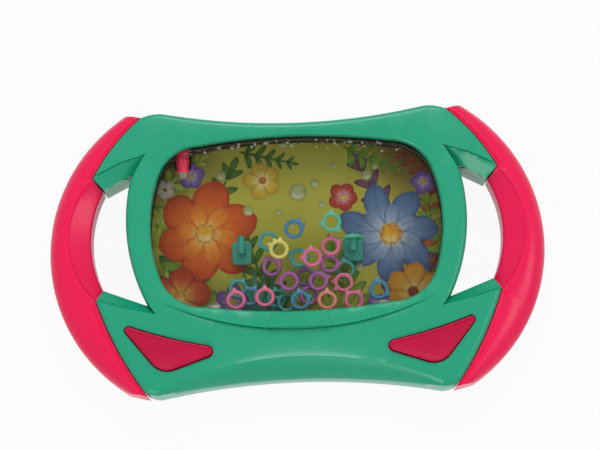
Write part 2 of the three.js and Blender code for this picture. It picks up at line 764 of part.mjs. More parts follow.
// The bellows: open below, with folds, its top under the button's post.
function bellows() {
  const folds = pump.folds * 2;
  const outside = Array.from({ length: folds + 1 }, (_, i) => [
    i % 2 ? pump.waistRadius : pump.radius,
    bellowsLow + (pump.height - pump.skin) * (i / folds),
  ]);
  const inside = outside.slice(0, -1).map(([radius, height]) => [radius - pump.skin, height]);
  return revolved([
    [0, bellowsHigh - pump.skin],
    [pump.waistRadius - pump.skin, bellowsHigh - pump.skin],
    ...inside.reverse(),
    ...outside,
    [pump.waistRadius, bellowsHigh],
    [0, bellowsHigh],
  ], buttonSpot, 12);
}

// The pump's base, with the tube that carries its squirt to the jet in the tank's floor.
function nozzle() {
  const low = wall + gap;
  const middle = low + pump.baseThickness / 2;
  const jet = point(jetSpot.x, jetSpot.y);
  const route = new THREE.CatmullRomCurve3([
    new THREE.Vector3(buttonSpot.x, buttonSpot.y, middle),
    new THREE.Vector3(buttonSpot.x - pump.baseRadius, buttonSpot.y - pump.outletRadius / 4, middle + gap),
    new THREE.Vector3(jet.x + pump.outletRadius, buttonSpot.y + pump.outletRadius, (middle + jetHeight) / 2),
    new THREE.Vector3(jet.x, jet.y - 2 * tank.flangeReach, jetHeight),
    new THREE.Vector3(jet.x, jet.y + tank.flangeReach, jetHeight),
  ]);
  const tube = (radius, curve, sides) => {
    const ringShape = new THREE.Shape().absarc(0, 0, radius, 0, 2 * Math.PI);
    const options = { extrudePath: curve, steps: 9, curveSegments: sides };
    return solidOf(new THREE.ExtrudeGeometry(ringShape, options));
  };
  const base = cut(
    rod(pump.baseRadius, low, bellowsLow, buttonSpot, 12),
    rod(pump.outletRadius, middle, bellowsLow + overrun, buttonSpot),
  );
  const longer = new THREE.CatmullRomCurve3([
    ...route.points,
    new THREE.Vector3(jet.x, jet.y + 1.5 * tank.flangeReach, jetHeight),
  ]);
  return cut(join(base, tube(pump.outletRadius, route, 5)), tube(pump.boreRadius, longer, 3));
}

// Rings: a flat hoop with small pointed ears, each at its own place in the water

function ringSolid(ears) {
  const outline = new THREE.Shape();
  const steps = 10;
  const spots = [];
  for (let i = 0; i < steps; i += 1) {
    const angle = (i / steps) * 2 * Math.PI;
    spots.push({ angle, reach: ring.radius });
  }
  ears.forEach((degrees) => {
    const angle = THREE.MathUtils.degToRad(degrees);
    spots.push({ angle: (angle + 4 * Math.PI) % (2 * Math.PI), reach: ring.radius + ring.earReach });
  });
  spots.sort((a, b) => a.angle - b.angle);
  spots.forEach(({ angle, reach }, i) => {
    const x = reach * Math.cos(angle);
    const y = reach * Math.sin(angle);
    if (i) outline.lineTo(x, y);
    else outline.moveTo(x, y);
  });
  outline.closePath();
  outline.holes.push(new THREE.Path().absarc(0, 0, ring.holeRadius, 0, 2 * Math.PI, true));
  const options = { depth: ring.thickness, bevelEnabled: false, curveSegments: steps / 2 };
  return solidOf(new THREE.ExtrudeGeometry(outline, options).translate(0, 0, -ring.thickness / 2));
}

// The heap of rings: each one's place from the middle of the window's floor in shares of a ring's diameter,
// its layer in the water from the back, the degrees of its ears, and its colour.
const heapShares = [
  { at: [1.74, 4.46], layer: 3, ears: [90, 190, 310], tint: "mint" },
  { at: [-0.15, 4.17], layer: 3, ears: [20, 60], tint: "blue" },
  { at: [-1.45, 3.66], layer: 2, ears: [200], tint: "teal" },
  { at: [-0.92, 3.16], layer: 3, ears: [80, 115, 150], tint: "yellow" },
  { at: [1.66, 3.31], layer: 2, ears: [30, 85], tint: "pink" },
  { at: [0.07, 2.84], layer: 1, ears: [150, 240], tint: "teal" },
  { at: [0.72, 2.7], layer: 3, ears: [95, 180], tint: "pink" },
  { at: [1.58, 2.49], layer: 1, ears: [0], tint: "purple" },
  { at: [-1.32, 2.42], layer: 1, ears: [40, 120], tint: "purple" },
  { at: [2.37, 2.24], layer: 0, ears: [100], tint: "teal" },
  { at: [-0.47, 1.6], layer: 2, ears: [190], tint: "purple" },
  { at: [0.99, 1.55], layer: 2, ears: [20, 100], tint: "purple" },
  { at: [0.35, 1.9], layer: 0, ears: [90], tint: "violet" },
  { at: [2.26, 1.51], layer: 1, ears: [170, 220], tint: "pink" },
  { at: [-3.03, 1.34], layer: 1, ears: [60, 120], tint: "teal" },
  { at: [-3.13, 0.67], layer: 3, ears: [100], tint: "pink" },
  { at: [-2.43, 0.89], layer: 2, ears: [110, 60], tint: "blue" },
  { at: [-1.69, 0.77], layer: 3, ears: [90], tint: "pink" },
  { at: [-1.13, 0.85], layer: 0, ears: [60, 100], tint: "teal" },
  { at: [0.06, 0.56], layer: 3, ears: [95, 20], tint: "blue" },
  { at: [-0.62, 0.58], layer: 1, ears: [150, 30], tint: "teal" },
  { at: [0.5, 0.9], layer: 1, ears: [70], tint: "purple" },
  { at: [1.39, 0.52], layer: 3, ears: [90], tint: "coral" },
  { at: [2.73, 0.53], layer: 2, ears: [60, 130], tint: "pink" },
  { at: [3.98, 0.96], layer: 3, ears: [330, 100], tint: "blue" },
];

const layerPitch = (waterHigh - waterLow - 2 * gap) / ring.layers;

// Finishes

const plastic = (color, roughness, extra = {}) =>
  new THREE.MeshStandardMaterial({ color, roughness, metalness: 0, ...extra });
const clear = { transparent: true, opacity: 0.35 };
const finishes = {
  casing: plastic(0x33aa88, 0.4),
  grip: plastic(0xf0305f, 0.38),
  button: plastic(0xc8164c, 0.35),
  pane: plastic(0xe6f2ee, 0.08, clear),
  seal: plastic(0xdad6c8, 0.6),
  card: plastic(0x828737, 0.7),
  peg: plastic(0x2f9c86, 0.25, { transparent: true, opacity: 0.8 }),
  bellows: plastic(0xe9e4d4, 0.6),
  screw: new THREE.MeshStandardMaterial({ color: 0x9a9c9e, roughness: 0.35, metalness: 0.9 }),
  mint: plastic(0x5cc4a2, 0.35),
  blue: plastic(0x3d82a8, 0.35),
  teal: plastic(0x3f9a94, 0.35),
  yellow: plastic(0xdccf6a, 0.35),
  pink: plastic(0xde7394, 0.35),
  purple: plastic(0xaa5ca0, 0.35),
  violet: plastic(0x7a4f9c, 0.35),
  coral: plastic(0xe08a76, 0.35),
};

// Assembly

const game = new THREE.Group();

function add(name, solid, finish, parent = game) {
  const mesh = new THREE.Mesh(geometryOf(solid), finishes[finish]);
  mesh.name = name;
  parent.add(mesh);
  return mesh;
}

add("front_housing", frontHousing(), "casing");
add("rear_housing", rearHousing(), "casing");
add("tank_front", tankFront(), "pane");
add("tank_back", tankBack(), "pane");
add("tank_seal", tankSeal(), "seal");
add("backdrop_card", backdropCard(), "card");
add("fill_plug", fillPlug(), "button").position.set(plugAxis.x, 0, plugHeight);

pegSpots.forEach((spot, i) => {
  add(`${["left", "right"][i]}_peg`, pegSolid(), "peg").position.set(spot.x, spot.y, waterLow);
});

// What both sides have, modelled on the right and mirrored on the left.
const sides = { right: 1, left: -1 };
Object.entries(sides).forEach(([name, side]) => {
  const half = new THREE.Group();
  half.scale.x = side;
  game.add(half);
  add(`${name}_grip_front`, gripFront(), "grip", half);
  add(`${name}_grip_rear`, gripRear(), "grip", half);
  add(`${name}_button`, buttonCap(), "button", half);
  add(`${name}_bellows`, bellows(), "bellows", half);
  add(`${name}_jet_tube`, nozzle(), "bellows", half);
  gripScrewSpots.forEach((spot, i) => {
    add(`${name}_grip_screw_${i + 1}`, screwSolid(gripSeat), "screw", half).position.set(spot.x, spot.y, 0);
  });
});

screwSpots.forEach((spot, i) => {
  add(`casing_screw_${i + 1}`, screwSolid(casingSeat), "screw").position.set(spot.x, spot.y, 0);
});

heapShares.forEach(({ at: [across, up], layer, ears, tint }, i) => {
  const name = `ring_${String(i + 1).padStart(2, "0")}`;
  const height = waterLow + gap + (layer + 1 / 2) * layerPitch;
  add(name, ringSolid(ears), tint).position.set(
    across * 2 * ring.radius, windowFloor + up * 2 * ring.radius, height);
});

// The last ring is already on the right peg, round its upright pin.
const caughtRing = add("ring_26", ringSolid([0]), "mint");
caughtRing.rotation.x = Math.PI / 2;
caughtRing.position.set(pegSpots[1].x, pegSpots[1].y + peg.pinLength / 2, waterLow + pinRise);

export default game;
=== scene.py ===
"""The looks of a handheld water game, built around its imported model.

Every piece except the seal, the tank's back and the jet tubes is modelled here with Blender's own operators,
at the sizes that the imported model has. Lengths are metres, and the game lies on its back: +Z comes out of the
window, +X is to the right and +Y is up the picture.
"""

from __future__ import annotations

import logging
import math
import random
from collections.abc import Callable, Sequence
from dataclasses import dataclass
from enum import Enum

import bmesh
import bpy
from mathutils import Euler, Matrix, Vector

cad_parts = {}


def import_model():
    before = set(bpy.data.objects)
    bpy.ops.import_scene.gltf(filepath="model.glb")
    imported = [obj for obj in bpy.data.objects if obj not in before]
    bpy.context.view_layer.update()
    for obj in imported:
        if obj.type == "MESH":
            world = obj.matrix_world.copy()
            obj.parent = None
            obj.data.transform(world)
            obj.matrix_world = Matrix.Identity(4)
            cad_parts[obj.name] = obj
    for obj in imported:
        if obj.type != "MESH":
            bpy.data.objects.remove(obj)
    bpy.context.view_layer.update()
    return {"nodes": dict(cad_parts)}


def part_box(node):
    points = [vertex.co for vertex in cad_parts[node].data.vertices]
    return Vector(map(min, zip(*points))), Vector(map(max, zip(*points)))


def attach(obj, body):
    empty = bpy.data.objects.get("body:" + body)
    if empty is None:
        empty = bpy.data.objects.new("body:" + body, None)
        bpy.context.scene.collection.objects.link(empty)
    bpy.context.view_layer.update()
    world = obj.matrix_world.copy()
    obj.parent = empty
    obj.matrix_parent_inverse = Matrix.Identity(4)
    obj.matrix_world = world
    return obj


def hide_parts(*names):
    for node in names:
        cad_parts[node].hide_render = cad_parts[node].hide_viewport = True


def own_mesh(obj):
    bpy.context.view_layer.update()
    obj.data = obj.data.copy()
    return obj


LOG = logging.getLogger("water_game")
MM = 0.001
Spot = tuple[float, float]
Outline = list[Spot]
Codes = tuple[str, str, str]


def linear(code: str) -> tuple[float, float, float, float]:
    """Turn an sRGB hex colour into the linear values that a shader takes.

    Args:
        code: six hex digits, such as "33AA88".

    Returns:
        Red, green, blue and an alpha of one.
    """
    shares = [int(code[i : i + 2], 16) / 255 for i in (0, 2, 4)]
    flat = [s / 12.92 if s <= 0.04045 else ((s + 0.055) / 1.055) ** 2.4 for s in shares]
    return (flat[0], flat[1], flat[2], 1.0)


def add_node(
    tree: bpy.types.NodeTree, kind: str, inputs: dict | None = None, **settings: object
) -> bpy.types.Node:
    """Add a node with its settings and links.

    Args:
        tree: the node tree to add to.
        kind: the node's type name, such as "ShaderNodeTexNoise".
        inputs: input name or number to the output that feeds it, or to its value.
        settings: properties of the node.

    Returns:
        The new node.
    """
    node = tree.nodes.new(kind)
    for name, value in settings.items():
        setattr(node, name, value)
    for name, source in (inputs or {}).items():
        if isinstance(source, bpy.types.NodeSocket):
            tree.links.new(source, node.inputs[name])
        else:
            node.inputs[name].default_value = source
    return node


def new_material(
    name: str,
) -> tuple[bpy.types.Material, bpy.types.NodeTree, bpy.types.Node, bpy.types.NodeSocket]:
    """Start a material: itself, its tree, its shader and the piece's own coordinates."""
    material = bpy.data.materials.new(name)
    material.use_nodes = True
    tree = material.node_tree
    coordinates = add_node(tree, "ShaderNodeTexCoord").outputs["Object"]
    return material, tree, tree.nodes["Principled BSDF"], coordinates


# Outlines


def arc(start: Spot, middle: Spot, end: Spot, steps: int) -> Outline:
    """Points on the circle through three points, without the last one."""
    (ax, ay), (bx, by), (cx, cy) = start, middle, end
    bx, by, cx, cy = bx - ax, by - ay, cx - ax, cy - ay
    twice = 2 * (bx * cy - by * cx)
    ux = (cy * (bx * bx + by * by) - by * (cx * cx + cy * cy)) / twice
    uy = (bx * (cx * cx + cy * cy) - cx * (bx * bx + by * by)) / twice
    first = math.atan2(-uy, -ux)
    turn = 1 if twice > 0 else -1
    sweep = ((math.atan2(cy - uy, cx - ux) - first) * turn) % (2 * math.pi)
    radius = math.hypot(ux, uy)
    angles = [first + turn * sweep * i / steps for i in range(steps)]
    return [(ax + ux + radius * math.cos(a), ay + uy + radius * math.sin(a)) for a in angles]


def grown(outline: Outline, distance: float) -> Outline:
    """The anticlockwise outline moved outwards, or inwards for a negative distance."""
    sharpest = 0.5
    moved = []
    for k, (x, y) in enumerate(outline):
        before = Vector(outline[k]) - Vector(outline[k - 1])
        after = Vector(outline[(k + 1) % len(outline)]) - Vector(outline[k])
        before.normalize()
        after.normalize()
        out = Vector((before.y + after.y, -before.x - after.x)).normalized()
        square = max(out.dot(Vector((after.y, -after.x))), sharpest)
        moved.append((x + out.x * distance / square, y + out.y * distance / square))
    return moved


def rounded(tips: Sequence[tuple[Spot, float]], steps: int) -> list[Outline]:
    """The rounds that replace a closed outline's corners.

    Args:
        tips: each corner and its radius.
        steps: segments of each round.

    Returns:
        One list of points for each corner.
    """
    rounds = []
    for k, (spot, radius) in enumerate(tips):
        corner = Vector(spot)
        back = (Vector(tips[k - 1][0]) - corner).normalized()
        ahead = (Vector(tips[(k + 1) % len(tips)][0]) - corner).normalized()
        half = math.acos(max(-1.0, min(1.0, back.dot(ahead)))) / 2
        reach = radius / math.tan(half)
        centre = corner + (back + ahead).normalized() * radius / math.sin(half)
        middle = centre + (corner - centre).normalized() * radius
        start = corner + back * reach
        end = corner + ahead * reach
        rounds.append([*arc(tuple(start), tuple(middle), tuple(end), steps), tuple(end)])
    return rounds


def eased(outline: Outline, corner: Spot, reach: float) -> Outline:
    """The closed outline with one corner rounded.

    Args:
        outline: its points.
        corner: the corner's place.
        reach: how far to either side of the corner the round begins.

    Returns:
        The new outline, from the end of the round to its last point.
    """
    middle = Vector(corner)
    near = [(Vector(spot) - middle).length < reach for spot in outline]
    first = next(k for k in range(len(outline)) if near[k] and not near[k - 1])
    after = first + sum(near)
    rest = [outline[(after + k) % len(outline)] for k in range(len(outline) - sum(near))]
    start, end = Vector(rest[-1]), Vector(rest[0])
    steps = 9
    shares = [k / steps for k in range(1, steps)]
    return [*rest, *(tuple(start * (1 - s) ** 2 + middle * 2 * s * (1 - s) + end * s * s) for s in shares)]


def mirrored(outline: Outline) -> Outline:
    """The outline on the other side of the body, still anticlockwise."""
    return [(-x, y) for x, y in reversed(outline)]


def box_middle(low: Sequence[float], high: Sequence[float]) -> tuple[float, ...]:
    """The middle of a box, from its two corners."""
    return tuple((a + b) / 2 for a, b in zip(low, high))


# Modelling with Blender's operators


def deselect() -> None:
    """Leave edit mode and select nothing."""
    if bpy.context.object and bpy.context.object.mode != "OBJECT":
        bpy.ops.object.mode_set(mode="OBJECT")
    bpy.ops.object.select_all(action="DESELECT")


def choose(piece: bpy.types.Object) -> None:
    """Make a piece the only selected and active one."""
    deselect()
    piece.select_set(True)
    bpy.context.view_layer.objects.active = piece


def name_piece(name: str) -> bpy.types.Object:
    """Name the active object and its mesh."""
    piece = bpy.context.object
    piece.name = name
    piece.data.name = name
    return piece


def apply_modifier(piece: bpy.types.Object, kind: str, **settings: object) -> None:
    """Add a modifier, set it and apply it."""
    choose(piece)
    modifier = piece.modifiers.new(kind.lower(), kind)
    for name, value in settings.items():
        setattr(modifier, name, value)
    bpy.ops.object.modifier_apply(modifier=modifier.name)


def carve(piece: bpy.types.Object, *cutters: bpy.types.Object, operation: str = "DIFFERENCE") -> None:
    """Cut pieces out of another one, or join them to it, and remove them.

    Args:
        piece: the closed piece that is changed.
        cutters: closed pieces, used up in order.
        operation: DIFFERENCE or UNION.
    """
    for cutter in cutters:
        size = piece.dimensions.copy()
        apply_modifier(piece, "BOOLEAN", object=cutter, operation=operation, solver="MANIFOLD")
        grew = max(now - before for now, before in zip(piece.dimensions, size))
        if not piece.data.polygons or (operation == "DIFFERENCE" and grew > 0.01 * MM):
            raise RuntimeError(f"the cut of {cutter.name} from {piece.name} failed")
        bpy.data.meshes.remove(cutter.data)


def lofted(name: str, loops: Sequence[Sequence[Vector]]) -> bpy.types.Object:
    """A closed solid: a filled loop, extruded from loop to loop.

    Args:
        name: the piece's name.
        loops: loops with the same number of points, in order.

    Returns:
        The new piece.
    """
    deselect()
    bpy.ops.mesh.primitive_circle_add(vertices=len(loops[0]), radius=1, fill_type="NGON")
    piece = name_piece(name)
    for vertex, spot in zip(piece.data.vertices, loops[0]):
        vertex.co = spot
    bpy.ops.object.mode_set(mode="EDIT")
    bpy.ops.mesh.select_all(action="SELECT")
    for before, after in zip(loops, loops[1:]):
        bpy.ops.mesh.extrude_region_move()
        mesh = bmesh.from_edit_mesh(piece.data)
        end = next(f for f in mesh.faces if f.select)
        for loop, spot in zip(end.loops, in_face_order(end, before, after)):
            loop.vert.co = spot
        bmesh.update_edit_mesh(piece.data)
    bpy.ops.mesh.select_all(action="SELECT")
    bpy.ops.mesh.normals_make_consistent(inside=False)
    bpy.ops.object.mode_set(mode="OBJECT")
    return piece


def in_face_order(
    face: bmesh.types.BMFace, before: Sequence[Vector], after: Sequence[Vector]
) -> list[Vector]:
    """The next loop in the order of a face's corners, which still lie on the loop before it."""
    corners = [loop.vert.co for loop in face.loops]

    def number(corner: Vector) -> int:
        return min(range(len(before)), key=lambda k: (before[k] - corner).length_squared)

    first, second = number(corners[0]), number(corners[1])
    turn = 1 if (second - first) % len(before) == 1 else -1
    return [after[(first + turn * k) % len(after)] for k in range(len(after))]


def stacked(name: str, rows: Sequence[tuple[Outline, float]]) -> bpy.types.Object:
    """A closed solid from outlines, each with its height, from the bottom up."""
    return lofted(name, [[Vector((x, y, height)) for x, y in outline] for outline, height in rows])


def prism(name: str, outline: Outline, low: float, high: float) -> bpy.types.Object:
    """An outline extruded from one height to another."""
    return stacked(name, [(outline, low), (outline, high)])


def sheet_block(
    name: str,
    columns: int,
    rows: int,
    place: Callable[[float, float], tuple[float, float, float]],
    lift: float,
) -> bpy.types.Object:
    """A shaped grid, extruded along Z to a block, as a cutter with a curved underside.

    Args:
        name: the piece's name.
        columns: squares across.
        rows: squares along.
        place: gives the place of a grid point from its two shares, from 0 to 1.
        lift: how far the block reaches above the surface.

    Returns:
        The new piece.
    """
    deselect()
    bpy.ops.mesh.primitive_grid_add(x_subdivisions=columns, y_subdivisions=rows, size=2)
    piece = name_piece(name)
    for vertex in piece.data.vertices:
        vertex.co = place((vertex.co.x + 1) / 2, (vertex.co.y + 1) / 2)
    bpy.ops.object.mode_set(mode="EDIT")
    bpy.ops.mesh.select_all(action="SELECT")
    bpy.ops.mesh.extrude_region_move(TRANSFORM_OT_translate={"value": (0, 0, lift)})
    bpy.ops.mesh.select_all(action="SELECT")
    bpy.ops.mesh.normals_make_consistent(inside=False)
    bpy.ops.object.mode_set(mode="OBJECT")
    return piece


def post(name: str, spot: Spot, rows: Sequence[tuple[float, float]], sides: int = 40) -> bpy.types.Object:
    """A round solid on +Z from rows of radius and height."""
    circle = [(math.cos(2 * math.pi * i / sides), math.sin(2 * math.pi * i / sides)) for i in range(sides)]
    stack = [([(spot[0] + r * x, spot[1] + r * y) for x, y in circle], z) for r, z in rows]
    return stacked(name, stack)


def soften(piece: bpy.types.Object, width: float) -> None:
    """Round a piece's sharp edges and shade it smooth between them."""
    apply_modifier(piece, "TRIANGULATE", min_vertices=5)
    apply_modifier(
        piece,
        "BEVEL",
        width=width,
        segments=2,
        limit_method="ANGLE",
        angle_limit=math.radians(38),
        use_clamp_overlap=True,
        miter_outer="MITER_ARC",
    )
    smooth(piece)


def turned_post(
    name: str, place: Sequence[float], rows: Sequence[tuple[float, float]], sides: int = 40
) -> bpy.types.Object:
    """A round solid on +Y through a place, from rows of radius and distance along Y."""
    piece = post(name, (0, 0), rows, sides)
    piece.data.transform(Matrix.Translation(place) @ Matrix.Rotation(-math.pi / 2, 4, "X"))
    return piece


def joined(name: str, pieces: Sequence[bpy.types.Object]) -> bpy.types.Object:
    """Join pieces into one object."""
    deselect()
    for piece in pieces:
        piece.select_set(True)
    bpy.context.view_layer.objects.active = pieces[0]
    bpy.ops.object.join()
    return name_piece(name)


def dress(piece: bpy.types.Object, finish: bpy.types.Material, body: str, *nodes: str) -> bpy.types.Object:
    """Give a piece its finish, the body that it rides on and the nodes that it stands for."""
    piece.data.materials.clear()
    piece.data.materials.append(finish)
    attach(piece, body)
    if nodes:
        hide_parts(*nodes)
    LOG.info("%s: %d faces", piece.name, len(piece.data.polygons))
    return piece


def smooth(piece: bpy.types.Object, angle: float = 32) -> None:
    """Shade a piece smooth, with edges sharper than the angle kept."""
    choose(piece)
    bpy.ops.object.shade_smooth_by_angle(angle=math.radians(angle))


# The arcs that the pieces share, as shares of the half width and the half height


# Symmetrical arcs: their left end and their middle.
RIDGE = ((-0.56, -0.93), (0, -0.735))
BOTTOM_EDGE = ((-0.564, -0.971), (0, -0.878))
TOP_EDGE = ((-0.564, 1), (0, 0.895))
SURROUND = ((-0.55, -0.337), (0, -0.547))
WINDOW_TOP = ((-0.42, 0.742), (0, 0.794))
WINDOW_FLOOR = (0, -0.422)
# Arcs of the right side: start, middle and end.
LOWER_JOINT = ((0.608, -0.972), (0.724, -0.655), (0.809, -0.311))
UPPER_JOINT = ((0.816, 0.541), (0.747, 0.73), (0.617, 0.965))
GRIP_OUTSIDE = ((0.693, 1), (1, 0.03), (0.693, -0.94))
GRIP_RIM = ((0.78, 0.463), (0.832, 0.12), (0.784, -0.238))
GRIP_FOLD = ((0.83, 0.52), (0.9185, 0.09), (0.826, -0.29))


# The game's own sizes, in metres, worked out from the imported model


@dataclass(frozen=True)
class Body:
    """The casing's driving sizes and the outlines that its pieces share."""

    half_width: float
    half_height: float
    parting: float
    face: float
    wall: float = 2 * MM
    gap: float = 0.3 * MM
    edge_round: float = 2.6 * MM
    tip_round: float = 3.2 * MM
    joint_round: float = 2.2 * MM

    def at(self, x_share: float, y_share: float) -> Spot:
        """A spot given by its shares of the half width and the half height."""
        return (x_share * self.half_width, y_share * self.half_height)

    def arc_at(self, start: Spot, middle: Spot, end: Spot, steps: int) -> Outline:
        """An arc through three spots given by their shares."""
        return arc(self.at(*start), self.at(*middle), self.at(*end), steps)

    def around(self, right: Outline, top_middle: Spot, bottom_middle: Spot, steps: int) -> Outline:
        """A closed outline from its right side, running up, and arcs along its top and bottom."""
        low, high = right[0], right[-1]
        top = arc(high, self.at(*top_middle), (-high[0], high[1]), steps)[1:]
        bottom = arc((-low[0], low[1]), self.at(*bottom_middle), low, steps)[1:]
        return [*right, *top, *mirrored(right), *bottom]

    def casing_outline(self) -> Outline:
        """The casing: joints with the grips, and the finger openings' edges between them."""
        top_x, top_y = TOP_EDGE[0]
        bottom_x, bottom_y = BOTTOM_EDGE[0]
        joint_x, joint_y = LOWER_JOINT[0]
        right = [
            self.at(-bottom_x, bottom_y),
            *self.arc_at(*LOWER_JOINT, 14),
            self.at(*LOWER_JOINT[2]),
            self.at(0.78, -0.236),
            *self.arc_at((0.605, -0.351), (0.683, 0.12), (0.657, 0.575), 30),
            self.at(0.657, 0.575),
            self.at(0.774, 0.47),
            *self.arc_at(*UPPER_JOINT, 14),
            self.at(*UPPER_JOINT[2]),
            self.at(-top_x, top_y),
        ]
        outline = self.around(right, TOP_EDGE[1], BOTTOM_EDGE[1], 48)
        for side in (1, -1):
            outline = eased(outline, self.at(-side * top_x, top_y), self.tip_round)
            outline = eased(outline, self.at(side * joint_x, joint_y), self.joint_round)
        return outline

    def window_outline(self) -> Outline:
        """The edge of the window opening."""
        bottom, low, high, top = (0.372, -0.375), (0.548, -0.18), (0.553, 0.518), (0.385, 0.742)
        right = [
            *self.arc_at(bottom, (0.488, -0.3125), low, 12),
            *self.arc_at(low, (0.584, 0.168), high, 16),
            *self.arc_at(high, (0.506, 0.655), top, 12),
            self.at(*top),
        ]
        return self.around(right, WINDOW_TOP[1], WINDOW_FLOOR, 40)

    def rounded_rows(
        self, outline: Outline, face: float, radius: float, side: int
    ) -> list[tuple[Outline, float]]:
        """Rows that turn an outline's edge over towards a face at a height.

        Args:
            outline: the outline at the foot of the round.
            face: the face's height.
            radius: the round's radius.
            side: 1 for a face on top, -1 for one below.

        Returns:
            Outlines with their heights, from the outline to the face.
        """
        steps = 5
        rows = []
        for i in range(steps + 1):
            turn = i / steps * math.pi / 2
            inset = radius * (1 - math.cos(turn))
            rows.append((grown(outline, -inset), face - side * radius * (1 - math.sin(turn))))
        return rows

    def arc_height(self, shares: Sequence[Spot], x: float) -> float:
        """The height of a symmetrical arc over a place across the body."""
        (left, low), (_, middle) = self.at(*shares[0]), self.at(*shares[1])
        rise = middle - low
        radius = (left * left + rise * rise) / (2 * abs(rise))
        inside = math.sqrt(max(radius * radius - min(abs(x), abs(left)) ** 2, 0))
        return middle - math.copysign(radius - inside, rise)


class Side(Enum):
    """A side of the game, as the sign of its X."""

    RIGHT = 1
    LEFT = -1


@dataclass
class Buttons:
    """The two thumb buttons: rounded triangles with a thin raised rim round a dished top."""

    body: Body
    rise: float = 1.4 * MM
    rim: float = 0.95 * MM
    dish: float = 0.6 * MM
    top_sag: float = 0.8 * MM
    flange_reach: float = 1.2 * MM
    flange_thickness: float = 1.4 * MM
    post_radius: float = 4 * MM
    post_at: Spot = (0.53, -0.68)
    steps: int = 10

    def outline(self) -> Outline:
        """The right button's outline, its upper edge a little hollow."""
        tips = [
            (self.body.at(0.713, -0.486), 1.4 * MM),
            (self.body.at(0.305, -0.68), 2.2 * MM),
            (self.body.at(0.553, -0.828), 9 * MM),
        ]
        outer, inner, bottom = rounded(tips, self.steps)
        start, end = Vector(outer[-1]), Vector(inner[0])
        inwards = Vector((start.y - end.y, end.x - start.x)).normalized() * self.top_sag
        middle = (start + end) / 2 + inwards
        return [*outer, *arc(tuple(start), tuple(middle), tuple(end), 14)[1:], *inner, *bottom]

    def build(self, side: Side, finish: bpy.types.Material) -> bpy.types.Object:
        """Model one button as its cap, flange and post, and dress it."""
        node = f"{side.name.lower()}_button"
        low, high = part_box(node)
        shape = self.outline() if side is Side.RIGHT else mirrored(self.outline())
        flange_high = self.body.face - self.body.wall - self.body.gap
        flange_low = flange_high - self.flange_thickness
        flange = grown(shape, self.flange_reach)
        top = high[2]
        rows = [
            (flange, flange_low),
            (flange, flange_high),
            (shape, flange_high + 0.01 * MM),
            *self.body.rounded_rows(shape, top, self.rim / 2, 1),
            (grown(shape, -self.rim), top - 0.05 * MM),
            (grown(shape, -self.rim * 1.12), top - self.dish * 0.9),
            (grown(shape, -self.rim * 1.3), top - self.dish),
        ]
        cap = stacked(f"{side.name.lower()}_button_cap", rows)
        across, up = self.post_at
        stem_rows = [(self.post_radius, low[2]), (self.post_radius, flange_low + 0.3 * MM)]
        stem = post("stem", self.body.at(side.value * across, up), stem_rows)
        carve(cap, stem, operation="UNION")
        smooth(cap, 40)
        return dress(cap, finish, node, node)


